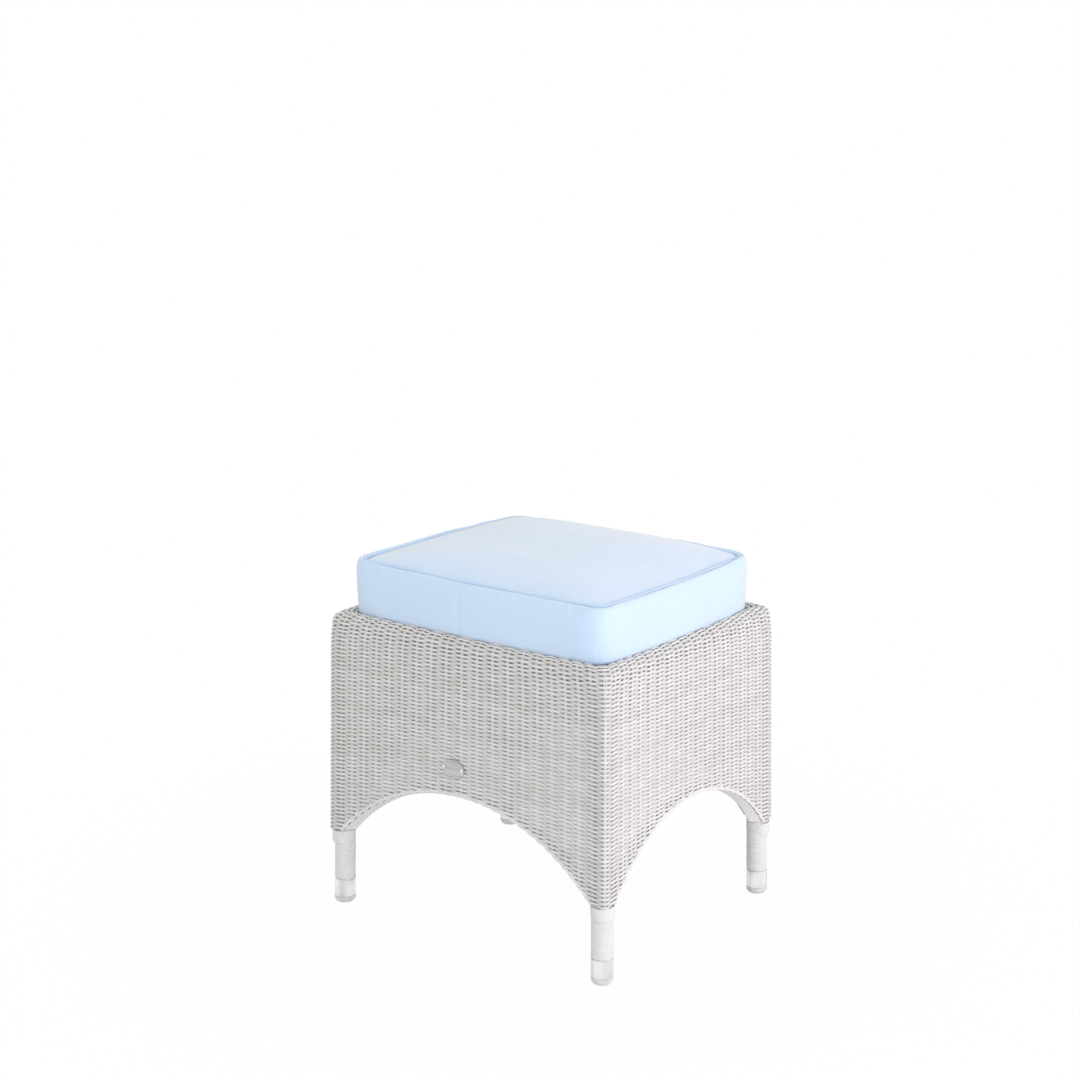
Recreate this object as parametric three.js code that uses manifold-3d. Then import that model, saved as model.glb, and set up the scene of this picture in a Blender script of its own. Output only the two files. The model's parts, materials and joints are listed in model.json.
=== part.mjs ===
// An outdoor footstool. Four strand-wrapped tube legs carry a woven skirt, which has an arch in each
// side and rolls over a top frame, and a loose piped box cushion lifts out of the recess in its top.
// Sizes are in millimetres. X runs left to right, Y runs front to back and Z is up. The origin is on
// the floor under the middle of the stool.

import * as THREE from "three";
import { mergeVertices } from "three/addons/utils/BufferGeometryUtils.js";
import Module from "manifold-3d";

const wasm = await Module();
wasm.setup();

// Driving dimensions of the whole stool
const legSpacingX = 422.4; // between the leg axes, on the floor
const legSpacingY = 357.6;
const legLeanShare = 0.0171; // how far the legs lean in, as a share of the height
const rimHeight = 402; // crown of the woven rim
const seatDepth = 36; // from the rim down to the slats that the cushion lies on
const skirtBottomHeight = 103;
const frontArchHeight = 195;
const sideArchHeight = 191.5;
const archSpringInset = 8; // from a leg axis to the foot of the arch, along the skirt
const cushionHeight = 100.7; // from the cushion's underside to its top seam
const restGap = 0.3; // left between pieces that touch
const cutOverrun = 4; // how far a cutting tool runs past what it cuts
const mergeDistance = 0.0005;

// Legs and feet
const legDiameter = 25;
const legWall = 1.6;
const legSides = 20;
const glideDiameter = 28;
const glideHeight = 9;
const glideEdgeRadius = 3;
const glideShankLength = 18;
const ferruleTopHeight = 33;

// Strand wound round each leg
const wrapStrandHeight = 2.4;
const wrapStrandThickness = 0.9;
const wrapTurnGap = 0.6;
const wrapLegGap = 0.15;
const wrapCollarThickness = 1.2; // extra radius where the turns cover the ends of the weave
const wrapCollarHeight = 21;
const wrapLoopSteps = 8;
const wrapMostLoops = 18;

// Top frame, seat and arch rails
const topRailDiameter = 17.4;
const topRailSides = 10;
const seatRailSize = 16;
const slatThickness = 3;
const slatWidth = 34;
const slatCount = 6;
const archRailDiameter = 8;
const archRailSides = 8;
const archRailSteps = 14;
const archRailSetback = 0.5; // from the edge of the weave up to the rail

// Woven skirt
const weaveThickness = 8.5;
const weaveOverLeg = 3.7;
const weaveLegGap = 0.6;
const weaveOverRail = 5;
const facingThickness = 2.6; // inside facing, from the rim down to the seat
const facingLegGap = 1;
const skirtSeamGap = 0.3;
const leastCornerRadius = 1;
const skirtCornerRadius = 8; // in plan, on the outside
const skirtStep = 1; // length of the step from the full weave to the thin weave over a leg
const ribDepth = 2; // of the valleys between the upright stakes that the strands weave round
const ribEndGap = 5; // from the last rib to the step beside a leg
const stakeCountX = 20; // spaces between stakes along the front, from corner to corner
const stakeCountY = 19;
const stakeSpreadShareX = 0.13; // how much wider than the mean the spaces are in the middle
const stakeSpreadShareY = 0.108;

// Cushion
const cushionClearance = 3; // from the cushion's seam to the rim, all round
const cushionCornerRadius = 14;
const cushionCrown = 8;
const crownShares = [0.95, 0.85, 0.66, 0.42, 0.2]; // sizes of the crown's loops, from the seam up
const undersideFlatShare = 0.95;
const boxingBulge = 8; // how far the sides swell past the seams above the rim
const boxingBow = 1.5; // how much more they swell between the corners
const seamDraw = 2; // how far the seams draw in between the corners
const seamFade = 10; // height over which a side swells away from its seam
const coverWall = 1.5;
const foamGap = 0.5;
const pipingDiameter = 4;
const pipingSides = 6;
const pipingGap = 0.5;
const pipingSeatDepth = 0.6; // how far the seam draws back behind the piping
const cornerSteps = 4;
const cushionSideSteps = 4;

// Zip in the rear of the cushion cover
const zipEndInset = 50.3; // from the cushion's end to the end of the zip
const zipTapeHeight = 8;
const zipTapeThickness = 0.8;
const zipSliderLength = 11;
const zipSliderHeight = 7;
const zipSliderDepth = 2.6;
const zipPullLength = 17;
const zipPullWidth = 5;
const zipPullThickness = 1.2;
const zipPullSink = 0.4; // how deep the pull is let into the slider
const zipEndMargin = 2;

// Badge, left bare
const badgeHeight = 21.6;
const badgeThickness = 1.2;
const badgeCurveSteps = 5;
const badgeX = -11;
const badgeCentreHeight = 232.5;
const rivetSpacing = 30;
const badgeEndMargin = 3.5; // from a rivet's axis out to the end of the plate
const rivetHeadDiameter = 5;
const rivetHeadHeight = 1.4;
const rivetEdgeHeightShare = 0.7;
const rivetCrownShare = 0.75;
const rivetShankDiameter = 2.6;
const rivetShankLength = 5;
const rivetSides = 12;

// Sizes that follow from the ones above
const halfX = legSpacingX / 2;
const halfY = legSpacingY / 2;
const seatHeight = rimHeight - seatDepth;
const legRadius = legDiameter / 2;
const topRailRadius = topRailDiameter / 2;
const archRailRadius = archRailDiameter / 2;
const skirtReach = legRadius + weaveLegGap + weaveOverLeg;
const skirtBack = skirtReach - weaveThickness;
const pocketRadius = topRailRadius + restGap;
const rimRadius = pocketRadius + weaveOverRail;
const railReach = skirtReach - rimRadius;
const railHeight = rimHeight - rimRadius;
const legTop = railHeight - topRailRadius - restGap;
const facingReach = railReach - rimRadius;
const facingBack = facingReach + facingThickness;
const facingCorner = (legRadius + facingLegGap + Math.SQRT2 * facingBack) / (Math.SQRT2 - 1);
const innerCornerRadius = Math.max(leastCornerRadius, facingCorner);
const cornerPath = skirtReach - skirtCornerRadius + (skirtCornerRadius * Math.PI) / 4;
const seatRailReach = skirtBack - restGap - seatRailSize / 2;
const seatRailTop = seatHeight - slatThickness - restGap;
const cushionBottom = seatHeight + restGap;
const cushionSeamHeight = cushionBottom + cushionHeight;
const pipingRadius = pipingDiameter / 2;
const recessHalfX = halfX - legLeanShare * railHeight + facingReach;
const recessHalfY = halfY - legLeanShare * railHeight + facingReach;
const cushionHalfX = recessHalfX - cushionClearance;
const cushionHalfY = recessHalfY - cushionClearance;
const boxingLowHeight = (2 * rimHeight + cushionSeamHeight) / 3;
const boxingHighHeight = cushionSeamHeight - 2 * seamFade;
const zipHeight = (boxingLowHeight + boxingHighHeight) / 2;
const zipFaceY = cushionHalfY + boxingBulge;
const zipLength = 2 * (cushionHalfX - zipEndInset);
const badgeWidth = rivetSpacing + 2 * badgeEndMargin;

// Materials
const strandMaterial = material("#d9d6cf", 0.6, 0);
const paintMaterial = material("#e6e4df", 0.5, 0);
const ferruleMaterial = material("#d4d6d8", 0.25, 1);
const glideMaterial = material("#d9dad9", 0.5, 0);
const coverMaterial = material("#c3daf0", 0.95, 0);
const pipingMaterial = material("#a9c6e4", 0.95, 0);
const foamMaterial = material("#f2efe2", 1, 0);
const zipMaterial = material("#b9cfe6", 0.6, 0);
const badgeMaterial = material("#b9bbbd", 0.3, 1);

function material(color, roughness, metalness) {
  return new THREE.MeshStandardMaterial({ color, roughness, metalness });
}

// Geometry helpers

function meshGeometry(positions, faces) {
  const geometry = new THREE.BufferGeometry();
  geometry.setAttribute("position", new THREE.Float32BufferAttribute(positions, 3));
  geometry.setIndex(faces);
  return geometry;
}

function onlyPositions(geometry) {
  const bare = new THREE.BufferGeometry();
  bare.setAttribute("position", geometry.getAttribute("position"));
  bare.setIndex(geometry.getIndex());
  return mergeVertices(bare, mergeDistance);
}

// Turns a closed geometry's faces outwards.
function facingOut(geometry) {
  const points = geometry.getAttribute("position");
  const faces = Array.from(geometry.getIndex().array);
  const corner = (index) => new THREE.Vector3().fromBufferAttribute(points, index);
  let volume = 0;
  for (let i = 0; i < faces.length; i += 3) {
    volume += corner(faces[i]).dot(corner(faces[i + 1]).cross(corner(faces[i + 2])));
  }
  if (volume < 0) geometry.setIndex(faces.reverse());
  return geometry;
}

function solidFrom(geometry) {
  const merged = onlyPositions(geometry);
  return new wasm.Manifold(
    new wasm.Mesh({
      numProp: 3,
      vertProperties: new Float32Array(merged.getAttribute("position").array),
      triVerts: new Uint32Array(merged.getIndex().array),
    }),
  );
}

function geometryFrom(solid) {
  const mesh = solid.getMesh();
  return meshGeometry(Array.from(mesh.vertProperties), Array.from(mesh.triVerts));
}

function cut(geometry, ...tools) {
  const result = tools.reduce((solid, tool) => solid.subtract(solidFrom(tool)), solidFrom(geometry));
  return geometryFrom(result);
}

function join(geometry, ...others) {
  const result = others.reduce((solid, other) => solid.add(solidFrom(other)), solidFrom(geometry));
  return geometryFrom(result);
}

function fanCap(count) {
  const triangles = [];
  for (let i = 1; i + 1 < count; i += 1) triangles.push([0, i, i + 1]);
  return triangles;
}

// Joins rings of equally many points into a tube. It is capped, or closed into a loop.
function loft(rings, { cap = fanCap(rings[0].length), loop = false } = {}) {
  const count = rings[0].length;
  const faces = [];
  const spans = loop ? rings.length : rings.length - 1;
  for (let r = 0; r < spans; r += 1) {
    const here = r * count;
    const next = ((r + 1) % rings.length) * count;
    for (let i = 0; i < count; i += 1) {
      const j = (i + 1) % count;
      faces.push(here + i, next + i, next + j, here + i, next + j, here + j);
    }
  }
  if (!loop) {
    const last = (rings.length - 1) * count;
    for (const [a, b, c] of cap) faces.push(a, b, c, last + c, last + b, last + a);
  }
  return facingOut(meshGeometry(rings.flat().flatMap((p) => [p.x, p.y, p.z]), faces));
}

// A solid of revolution about Z, from radius and height pairs that start and end on the axis or close.
function turned(outline, sides) {
  const points = outline.map(([radius, height]) => new THREE.Vector2(radius, height));
  return facingOut(onlyPositions(new THREE.LatheGeometry(points, sides).rotateX(Math.PI / 2)));
}

function block(width, depth, height) {
  return new THREE.BoxGeometry(width, depth, height);
}

// The stool narrows upwards: a point moves in by its height times the lean, in full from the leg axes
// out and by less towards the middle.
function leanIn(geometry) {
  const points = geometry.getAttribute("position");
  for (let i = 0; i < points.count; i += 1) {
    const lean = legLeanShare * points.getZ(i);
    const x = points.getX(i);
    const y = points.getY(i);
    points.setX(i, x - lean * THREE.MathUtils.clamp(x / halfX, -1, 1));
    points.setY(i, y - lean * THREE.MathUtils.clamp(y / halfY, -1, 1));
  }
  return geometry;
}

function named(name, geometry, finish) {
  const mesh = new THREE.Mesh(geometry, finish);
  mesh.name = name;
  return mesh;
}

// The four legs and the four sides of the stool

const corners = [
  { name: "front_left", x: -halfX, y: -halfY },
  { name: "front_right", x: halfX, y: -halfY },
  { name: "rear_left", x: -halfX, y: halfY },
  { name: "rear_right", x: halfX, y: halfY },
];

const stakesX = { count: stakeCountX, spreadShare: stakeSpreadShareX };
const stakesY = { count: stakeCountY, spreadShare: stakeSpreadShareY };
const sides = [
  side("front", [1, 0], [0, -1], halfX, halfY, frontArchHeight, stakesX),
  side("rear", [-1, 0], [0, 1], halfX, halfY, frontArchHeight, stakesX),
  side("left", [0, -1], [-1, 0], halfY, halfX, sideArchHeight, stakesY),
  side("right", [0, 1], [1, 0], halfY, halfX, sideArchHeight, stakesY),
];

function side(name, along, out, halfAlong, halfOut, archHeight, stakes) {
  const rise = archHeight - skirtBottomHeight;
  const halfWidth = halfAlong - archSpringInset;
  const archRadius = (rise * rise + halfWidth * halfWidth) / (2 * rise);
  return {
    name,
    along: new THREE.Vector3(...along, 0),
    out: new THREE.Vector3(...out, 0),
    halfAlong,
    halfOut,
    stakes,
    archRadius,
    archHalfWidth: halfWidth,
    archCentreHeight: archHeight - archRadius,
  };
}

// Places a point of a side by how far it is along the side, out of the middle and up.
function sidePoint(one, along, out, height) {
  return new THREE.Vector3(0, 0, height)
    .addScaledVector(one.along, along)
    .addScaledVector(one.out, out);
}

// A point of a band that runs round the stool. Its reach is how far it lies outside the leg axes, and
// the band turns each corner on an arc, which is round the leg unless a smaller radius is given. A
// station is a share of the way from the middle of the side to the leg, with the angle that it has
// turned at the corner.
function bandPoint(one, station, reach, height, mostRadius = Infinity) {
  const radius = THREE.MathUtils.clamp(reach, innerCornerRadius, mostRadius);
  const sign = Math.sign(station.share);
  const back = reach - radius;
  const pastLeg = Math.abs(station.share) === 1 ? Math.max(back, 0) : 0;
  const mitre = station.turn === endTurn ? skirtSeamGap / 2 / Math.SQRT2 : 0;
  const straight = station.share * (one.halfAlong + Math.min(back, 0));
  const along = straight + sign * (pastLeg + radius * Math.sin(station.turn) - mitre);
  const out = one.halfOut + back + radius * Math.cos(station.turn) + mitre;
  return sidePoint(one, along, out, height);
}

const endTurn = Math.PI / 4;
const cornerTurns = [endTurn, endTurn / 2, 0];

function cornerStations(sign) {
  const stations = cornerTurns.map((turn) => ({ share: sign, turn }));
  return sign < 0 ? stations : stations.reverse();
}

// Legs

function glide() {
  const radius = glideDiameter / 2;
  const shank = legRadius - legWall - restGap;
  const flat = radius - glideEdgeRadius;
  const edge = [1, 2, 3].map((step) => {
    const angle = (step * Math.PI) / 6;
    return [flat + glideEdgeRadius * Math.sin(angle), glideEdgeRadius * (1 - Math.cos(angle))];
  });
  const outline = [
    [0, 0],
    [flat, 0],
    ...edge,
    [radius, glideHeight],
    [shank, glideHeight],
    [shank, glideHeight + glideShankLength],
    [0, glideHeight + glideShankLength],
  ];
  return turned(outline, legSides);
}

function sleeve(innerRadius, outerRadius, bottom, top) {
  const outline = [
    [innerRadius, bottom],
    [outerRadius, bottom],
    [outerRadius, top],
    [innerRadius, top],
    [innerRadius, bottom],
  ];
  return turned(outline, legSides);
}

function legTube() {
  return sleeve(legRadius - legWall, legRadius, glideHeight + restGap, legTop);
}

function ferrule() {
  return sleeve(legRadius + restGap, glideDiameter / 2, glideHeight + restGap, ferruleTopHeight);
}

// The path of the strand on a leg: a straight end up from the ferrule, the turns, and a straight end up
// to the weave. Each point has an angle round the leg, a height and how far it stands off the leg.
function wrapPath() {
  const bottom = ferruleTopHeight + restGap;
  const top = skirtBottomHeight - restGap;
  const first = bottom + wrapStrandHeight * 1.5;
  const last = top - wrapStrandHeight * 1.5;
  const room = last - first;
  const loops = Math.min(wrapMostLoops, Math.floor(room / (wrapStrandHeight + wrapTurnGap)));
  const pitch = room / loops;
  const stepAngle = (2 * Math.PI) / wrapLoopSteps;
  const path = [
    { angle: -stepAngle / 4, height: bottom },
    { angle: -stepAngle / 4, height: bottom + wrapStrandHeight },
  ];
  for (let i = 0; i <= loops * wrapLoopSteps; i += 1) {
    path.push({ angle: i * stepAngle, height: first + (pitch * i) / wrapLoopSteps });
  }
  const endAngle = loops * wrapLoopSteps * stepAngle + stepAngle / 4;
  path.push({ angle: endAngle, height: top - wrapStrandHeight });
  path.push({ angle: endAngle, height: top });
  const collarStart = top - wrapCollarHeight;
  for (const point of path) {
    const share = THREE.MathUtils.clamp((point.height - collarStart) / pitch, 0, 1);
    point.standOff = share * wrapCollarThickness;
  }
  return path;
}

function legWrap() {
  const path = wrapPath();
  const inner = (legRadius + wrapLegGap) / Math.cos(Math.PI / wrapLoopSteps);
  const middle = inner + wrapStrandThickness / 2;
  const centres = path.map(({ angle, height, standOff }) => {
    const radius = middle + standOff;
    return new THREE.Vector3(radius * Math.cos(angle), radius * Math.sin(angle), height);
  });
  const rings = centres.map((centre, i) => {
    const before = centres[Math.max(i - 1, 0)];
    const after = centres[Math.min(i + 1, centres.length - 1)];
    const radial = new THREE.Vector3(centre.x, centre.y, 0).normalize();
    const across = after.clone().sub(before).cross(radial).normalize();
    const point = (outward, upward) =>
      centre
        .clone()
        .addScaledVector(radial, (outward * wrapStrandThickness) / 2)
        .addScaledVector(across, (upward * wrapStrandHeight) / 2);
    return [point(-1, -1), point(1, -1), point(1, 1), point(-1, 1)];
  });
  console.log("least gap between the turns of a leg's strand: " + leastTurnGap(rings).toFixed(2) + " mm");
  return loft(rings);
}

// The least distance between points of the strand that lie more than half a turn apart along it.
function leastTurnGap(rings) {
  const apart = Math.ceil(wrapLoopSteps / 2);
  let least = Infinity;
  rings.forEach((ring, i) => {
    for (const other of rings.slice(i + apart)) {
      for (const a of ring) {
        for (const b of other) least = Math.min(least, a.distanceTo(b));
      }
    }
  });
  return least;
}

function legs() {
  const group = new THREE.Group();
  const wrap = legWrap();
  for (const { name, x, y } of corners) {
    const place = (geometry) => leanIn(geometry.clone().translate(x, y, 0));
    group.add(
      named("leg_tube_" + name, place(legTube()), paintMaterial),
      named("leg_wrap_" + name, place(wrap), strandMaterial),
      named("leg_ferrule_" + name, place(ferrule()), ferruleMaterial),
      named("foot_glide_" + name, place(glide()), glideMaterial),
    );
  }
  return group;
}

// Rails between the legs

// Four upright tools, a little wider than the legs, that cope the end of a rail to the leg.
function copeTools() {
  return corners.map(({ x, y }) => {
    const outline = [
      [0, 0],
      [legRadius + restGap, 0],
      [legRadius + restGap, legTop],
      [0, legTop],
    ];
    return turned(outline, legSides).translate(x, y, 0);
  });
}

function topRail(one) {
  const step = (2 * Math.PI) / topRailSides;
  const stations = [...cornerStations(-1), ...cornerStations(1)];
  const rings = stations.map((station) =>
    Array.from({ length: topRailSides }, (_, i) => {
      const reach = railReach + topRailRadius * Math.cos(i * step);
      return bandPoint(one, station, reach, railHeight + topRailRadius * Math.sin(i * step));
    }),
  );
  return loft(rings);
}

function seatRail(one) {
  const out = one.halfOut + seatRailReach;
  const centre = sidePoint(one, 0, out, seatRailTop - seatRailSize / 2);
  const width = Math.abs(one.along.x) * 2 * one.halfAlong + Math.abs(one.out.x) * seatRailSize;
  const depth = Math.abs(one.along.y) * 2 * one.halfAlong + Math.abs(one.out.y) * seatRailSize;
  const bar = block(width, depth, seatRailSize).translate(centre.x, centre.y, centre.z);
  return cut(bar, ...copeTools());
}

function archRail(one) {
  const radius = one.archRadius + archRailSetback + archRailRadius;
  const reach = one.halfOut + skirtBack - restGap - archRailRadius;
  const endAngle = Math.asin((one.halfAlong - legRadius / 4) / radius);
  const sectionStep = (2 * Math.PI) / archRailSides;
  const rings = Array.from({ length: archRailSteps + 1 }, (_, i) => {
    const angle = endAngle * ((2 * i) / archRailSteps - 1);
    return Array.from({ length: archRailSides }, (_, j) => {
      const rise = radius + archRailRadius * Math.sin(j * sectionStep);
      const out = reach + archRailRadius * Math.cos(j * sectionStep);
      const height = one.archCentreHeight + rise * Math.cos(angle);
      return sidePoint(one, rise * Math.sin(angle), out, height);
    });
  });
  return cut(loft(rings), ...copeTools());
}

function slats() {
  const clearHalf = halfX - legRadius - restGap - slatWidth / 2;
  const length = 2 * (halfY + seatRailReach + seatRailSize / 2);
  return Array.from({ length: slatCount }, (_, i) => {
    const x = clearHalf * ((2 * i) / (slatCount - 1) - 1);
    const bar = block(slatWidth, length, slatThickness).translate(x, 0, seatHeight - slatThickness / 2);
    return named("seat_slat_" + (i + 1), leanIn(bar), paintMaterial);
  });
}

function rails() {
  const group = new THREE.Group();
  for (const one of sides) {
    group.add(
      named("top_rail_" + one.name, leanIn(topRail(one)), paintMaterial),
      named("seat_rail_" + one.name, leanIn(seatRail(one)), paintMaterial),
      named("arch_rail_" + one.name, leanIn(archRail(one)), paintMaterial),
    );
  }
  group.add(...slats());
  return group;
}

// Woven skirt

function skirtEdgeHeight(one, along) {
  if (Math.abs(along) >= one.archHalfWidth) return skirtBottomHeight;
  return one.archCentreHeight + Math.sqrt(one.archRadius ** 2 - along ** 2);
}

// The crests at the stakes and the valleys midway between them, where they lie clear of the legs.
function ribPlaces(one, full) {
  const { count, spreadShare } = one.stakes;
  const path = 2 * (one.halfAlong + cornerPath);
  const places = [];
  for (let i = 1; i < 2 * count; i += 1) {
    const share = i / (2 * count);
    const spread = (spreadShare * Math.sin(2 * Math.PI * share)) / (2 * Math.PI);
    const along = path * (share - 1 / 2 - spread);
    if (Math.abs(along) < full - ribEndGap) places.push({ along, valley: i % 2 === 1 });
  }
  return places;
}

function skirtStations(one) {
  const full = one.halfAlong - legRadius - 2 * restGap;
  const ends = [full, full + skirtStep, one.archHalfWidth];
  const places = [...ribPlaces(one, full)];
  for (const along of ends) places.push({ along }, { along: -along });
  const between = places
    .sort((a, b) => a.along - b.along)
    .map(({ along, valley = false }) => ({
      share: along / one.halfAlong,
      turn: 0,
      thin: Math.abs(along) > full + skirtStep / 2,
      valley,
      bottom: skirtEdgeHeight(one, along),
    }));
  const turning = (sign) =>
    cornerStations(sign).map((station) => ({ ...station, thin: true, bottom: skirtBottomHeight }));
  return [...turning(-1), ...between, ...turning(1)];
}

// Reach and height pairs on a half circle over the top rail, from outside to inside.
function overRail(radius) {
  const steps = topRailSides / 2;
  return Array.from({ length: steps + 1 }, (_, i) => {
    const angle = (Math.PI * i) / steps;
    return [railReach + radius * Math.cos(angle), railHeight + radius * Math.sin(angle)];
  });
}

function skirtOutside(depth, bottom) {
  return [[skirtReach - depth, bottom], ...overRail(rimRadius - depth)];
}

// The skirt's outline at one station, once round: up the outside, over the rail, down the facing
// inside, and back under the rail and down the inside of the weave.
function skirtOutline({ thin, bottom, valley }) {
  const legSide = legRadius + weaveLegGap;
  const ledge = legTop + restGap * 2;
  const depth = valley ? ribDepth : 0;
  return [
    ...skirtOutside(depth, bottom),
    [facingReach, cushionBottom],
    [facingBack, cushionBottom],
    [facingBack, ledge],
    ...overRail(pocketRadius).reverse(),
    [thin ? legSide : railReach + pocketRadius, ledge],
    [thin ? legSide : skirtBack, ledge - weaveThickness / 2],
    [thin ? legSide : skirtBack, bottom],
  ];
}

function skirtPanel(one) {
  const stations = skirtStations(one);
  const outside = skirtOutside(0, skirtBottomHeight).length;
  const rings = stations.map((station) =>
    skirtOutline(station).map(([reach, height], i) => {
      const mostRadius = i < outside ? skirtCornerRadius : Infinity;
      return bandPoint(one, station, reach, height, mostRadius);
    }),
  );
  const endOutline = skirtOutline(stations[0]).map(([reach, height]) => new THREE.Vector2(reach, height));
  const cap = THREE.ShapeUtils.triangulateShape(endOutline, []);
  return loft(rings, { cap });
}

function skirt() {
  const group = new THREE.Group();
  for (const one of sides) {
    const holes = one.name === "front" ? rivetPlaces().map((place) => rivetHole(place)) : [];
    const panel = holes.length ? cut(skirtPanel(one), ...holes) : skirtPanel(one);
    group.add(named("woven_panel_" + one.name, leanIn(panel), strandMaterial));
  }
  return group;
}

// Badge and its two rivets, on the front

const badgeBackY = -halfY - skirtReach - restGap;
const badgeFaceY = badgeBackY - badgeThickness;

function rivetPlaces() {
  return [
    { name: "left", x: badgeX - rivetSpacing / 2 },
    { name: "right", x: badgeX + rivetSpacing / 2 },
  ];
}

function turnedToFront(outline, x) {
  return turned(outline, rivetSides).rotateX(Math.PI / 2).translate(x, badgeFaceY, badgeCentreHeight);
}

function rivetHole({ x }) {
  const radius = rivetShankDiameter / 2 + restGap;
  const depth = rivetShankLength + restGap;
  const outline = [
    [0, -depth],
    [radius, -depth],
    [radius, cutOverrun],
    [0, cutOverrun],
  ];
  return turnedToFront(outline, x);
}

function rivet({ x }) {
  const outline = [
    [0, -rivetShankLength],
    [rivetShankDiameter / 2, -rivetShankLength],
    [rivetShankDiameter / 2, restGap],
    [rivetHeadDiameter / 2, restGap],
    [(rivetHeadDiameter / 2) * rivetCrownShare, rivetHeadHeight * rivetEdgeHeightShare],
    [0, rivetHeadHeight],
  ];
  return turnedToFront(outline, x);
}

// A shield-like lozenge: two points at the sides and flattened ends above and below.
function badgePlate() {
  const wide = badgeWidth / 2;
  const tall = badgeHeight / 2;
  const flat = wide / 2;
  const outline = new THREE.Shape();
  outline.moveTo(-wide, 0);
  outline.quadraticCurveTo(-wide, -tall / 2, -flat, -tall);
  outline.lineTo(flat, -tall);
  outline.quadraticCurveTo(wide, -tall / 2, wide, 0);
  outline.quadraticCurveTo(wide, tall / 2, flat, tall);
  outline.lineTo(-flat, tall);
  outline.quadraticCurveTo(-wide, tall / 2, -wide, 0);
  const plate = new THREE.ExtrudeGeometry(outline, {
    depth: badgeThickness,
    bevelEnabled: false,
    curveSegments: badgeCurveSteps,
  });
  const placed = facingOut(onlyPositions(plate))
    .rotateX(Math.PI / 2)
    .translate(badgeX, badgeBackY, badgeCentreHeight);
  return cut(placed, ...rivetPlaces().map((place) => rivetHole(place)));
}

function badge() {
  const group = new THREE.Group();
  group.add(named("badge_plate", leanIn(badgePlate()), badgeMaterial));
  for (const place of rivetPlaces()) {
    group.add(named("badge_rivet_" + place.name, leanIn(rivet(place)), badgeMaterial));
  }
  return group;
}

// Cushion

// One level loop round the cushion, anticlockwise. Its margin grows it from the seam line all round, its
// bow pushes the sides out between the corners, or draws them in, and its scale shrinks it for a crown.
function cushionLoop({ margin = 0, bow = 0, height, scale = 1 }) {
  const quarter = Math.PI / 2;
  const radius = cushionCornerRadius + margin;
  const cornerCentre = (corner) => {
    const angle = (corner % 4) * quarter + quarter / 2;
    const x = Math.sign(Math.cos(angle)) * (cushionHalfX - cushionCornerRadius);
    return new THREE.Vector2(x, Math.sign(Math.sin(angle)) * (cushionHalfY - cushionCornerRadius));
  };
  const offset = (centre, angle, distance) =>
    new THREE.Vector3(centre.x + distance * Math.cos(angle), centre.y + distance * Math.sin(angle), 0);
  const loop = [];
  for (let corner = 0; corner < 4; corner += 1) {
    const centre = cornerCentre(corner);
    for (let i = 0; i <= cornerSteps; i += 1) {
      loop.push(offset(centre, (corner + i / cornerSteps) * quarter, radius));
    }
    for (let i = 1; i < cushionSideSteps; i += 1) {
      const along = i / cushionSideSteps;
      const between = centre.clone().lerp(cornerCentre(corner + 1), along);
      loop.push(offset(between, (corner + 1) * quarter, radius + bow * Math.sin(Math.PI * along)));
    }
  }
  return loop.map((point) => point.multiplyScalar(scale).setZ(height));
}

// The cushion's shape as loops from its flat underside up to its crown, all set in by the same amount.
function cushionForm(inset) {
  const seamMargin = -pipingRadius - pipingGap - pipingSeatDepth;
  const loops = [
    { scale: undersideFlatShare, margin: seamMargin, bow: -seamDraw, height: cushionBottom, up: -1 },
    { margin: seamMargin, bow: -seamDraw, height: cushionBottom + pipingRadius, up: -1 },
    { height: cushionBottom + pipingRadius + seamFade },
    { height: rimHeight },
    { margin: boxingBulge, bow: boxingBow, height: boxingLowHeight },
    { margin: boxingBulge, bow: boxingBow, height: boxingHighHeight },
    { margin: boxingBulge / 2, height: cushionSeamHeight - seamFade },
    { margin: seamMargin, bow: -seamDraw, height: cushionSeamHeight, up: 1 },
    ...crownShares.map((scale) => ({
      scale,
      margin: seamMargin,
      bow: -seamDraw,
      height: cushionSeamHeight + cushionCrown * (1 - scale * scale),
      up: 1,
    })),
  ];
  return loft(
    loops.map(({ scale, margin = 0, bow, height, up = 0 }) =>
      cushionLoop({ scale, bow, margin: margin - inset, height: height - up * inset }),
    ),
  );
}

function piping(height) {
  const loops = Array.from({ length: pipingSides }, (_, i) => {
    const angle = (2 * Math.PI * i) / pipingSides;
    const margin = pipingRadius * Math.cos(angle);
    return cushionLoop({ margin, bow: -seamDraw, height: height + pipingRadius * Math.sin(angle) });
  });
  return loft(loops, { loop: true });
}

function zipOpening() {
  const depth = zipTapeThickness + restGap + cutOverrun;
  return block(zipLength + 2 * restGap, depth, zipTapeHeight + 2 * restGap).translate(
    0,
    zipFaceY - zipTapeThickness - restGap + depth / 2,
    zipHeight,
  );
}

// The slit behind the tape that joins the opening to the inside of the cover.
function zipSlit() {
  const depth = zipTapeThickness + coverWall + cutOverrun;
  return block(zipLength, depth, zipTapeHeight).translate(0, zipFaceY - depth / 2, zipHeight);
}

function zipTape() {
  const middle = zipFaceY - zipTapeThickness / 2;
  return block(zipLength, zipTapeThickness, zipTapeHeight).translate(0, middle, zipHeight);
}

function zipSlider() {
  const x = zipEndMargin + (zipSliderLength - zipLength) / 2;
  const back = zipFaceY + restGap;
  const pullMiddle = back + zipSliderDepth + zipPullThickness / 2 - zipPullSink;
  const slider = block(zipSliderLength, zipSliderDepth, zipSliderHeight).translate(
    x,
    back + zipSliderDepth / 2,
    zipHeight,
  );
  const pull = block(zipPullWidth, zipPullThickness, zipPullLength).translate(
    x,
    pullMiddle,
    zipHeight - zipPullLength / 2,
  );
  return join(slider, pull);
}

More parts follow.
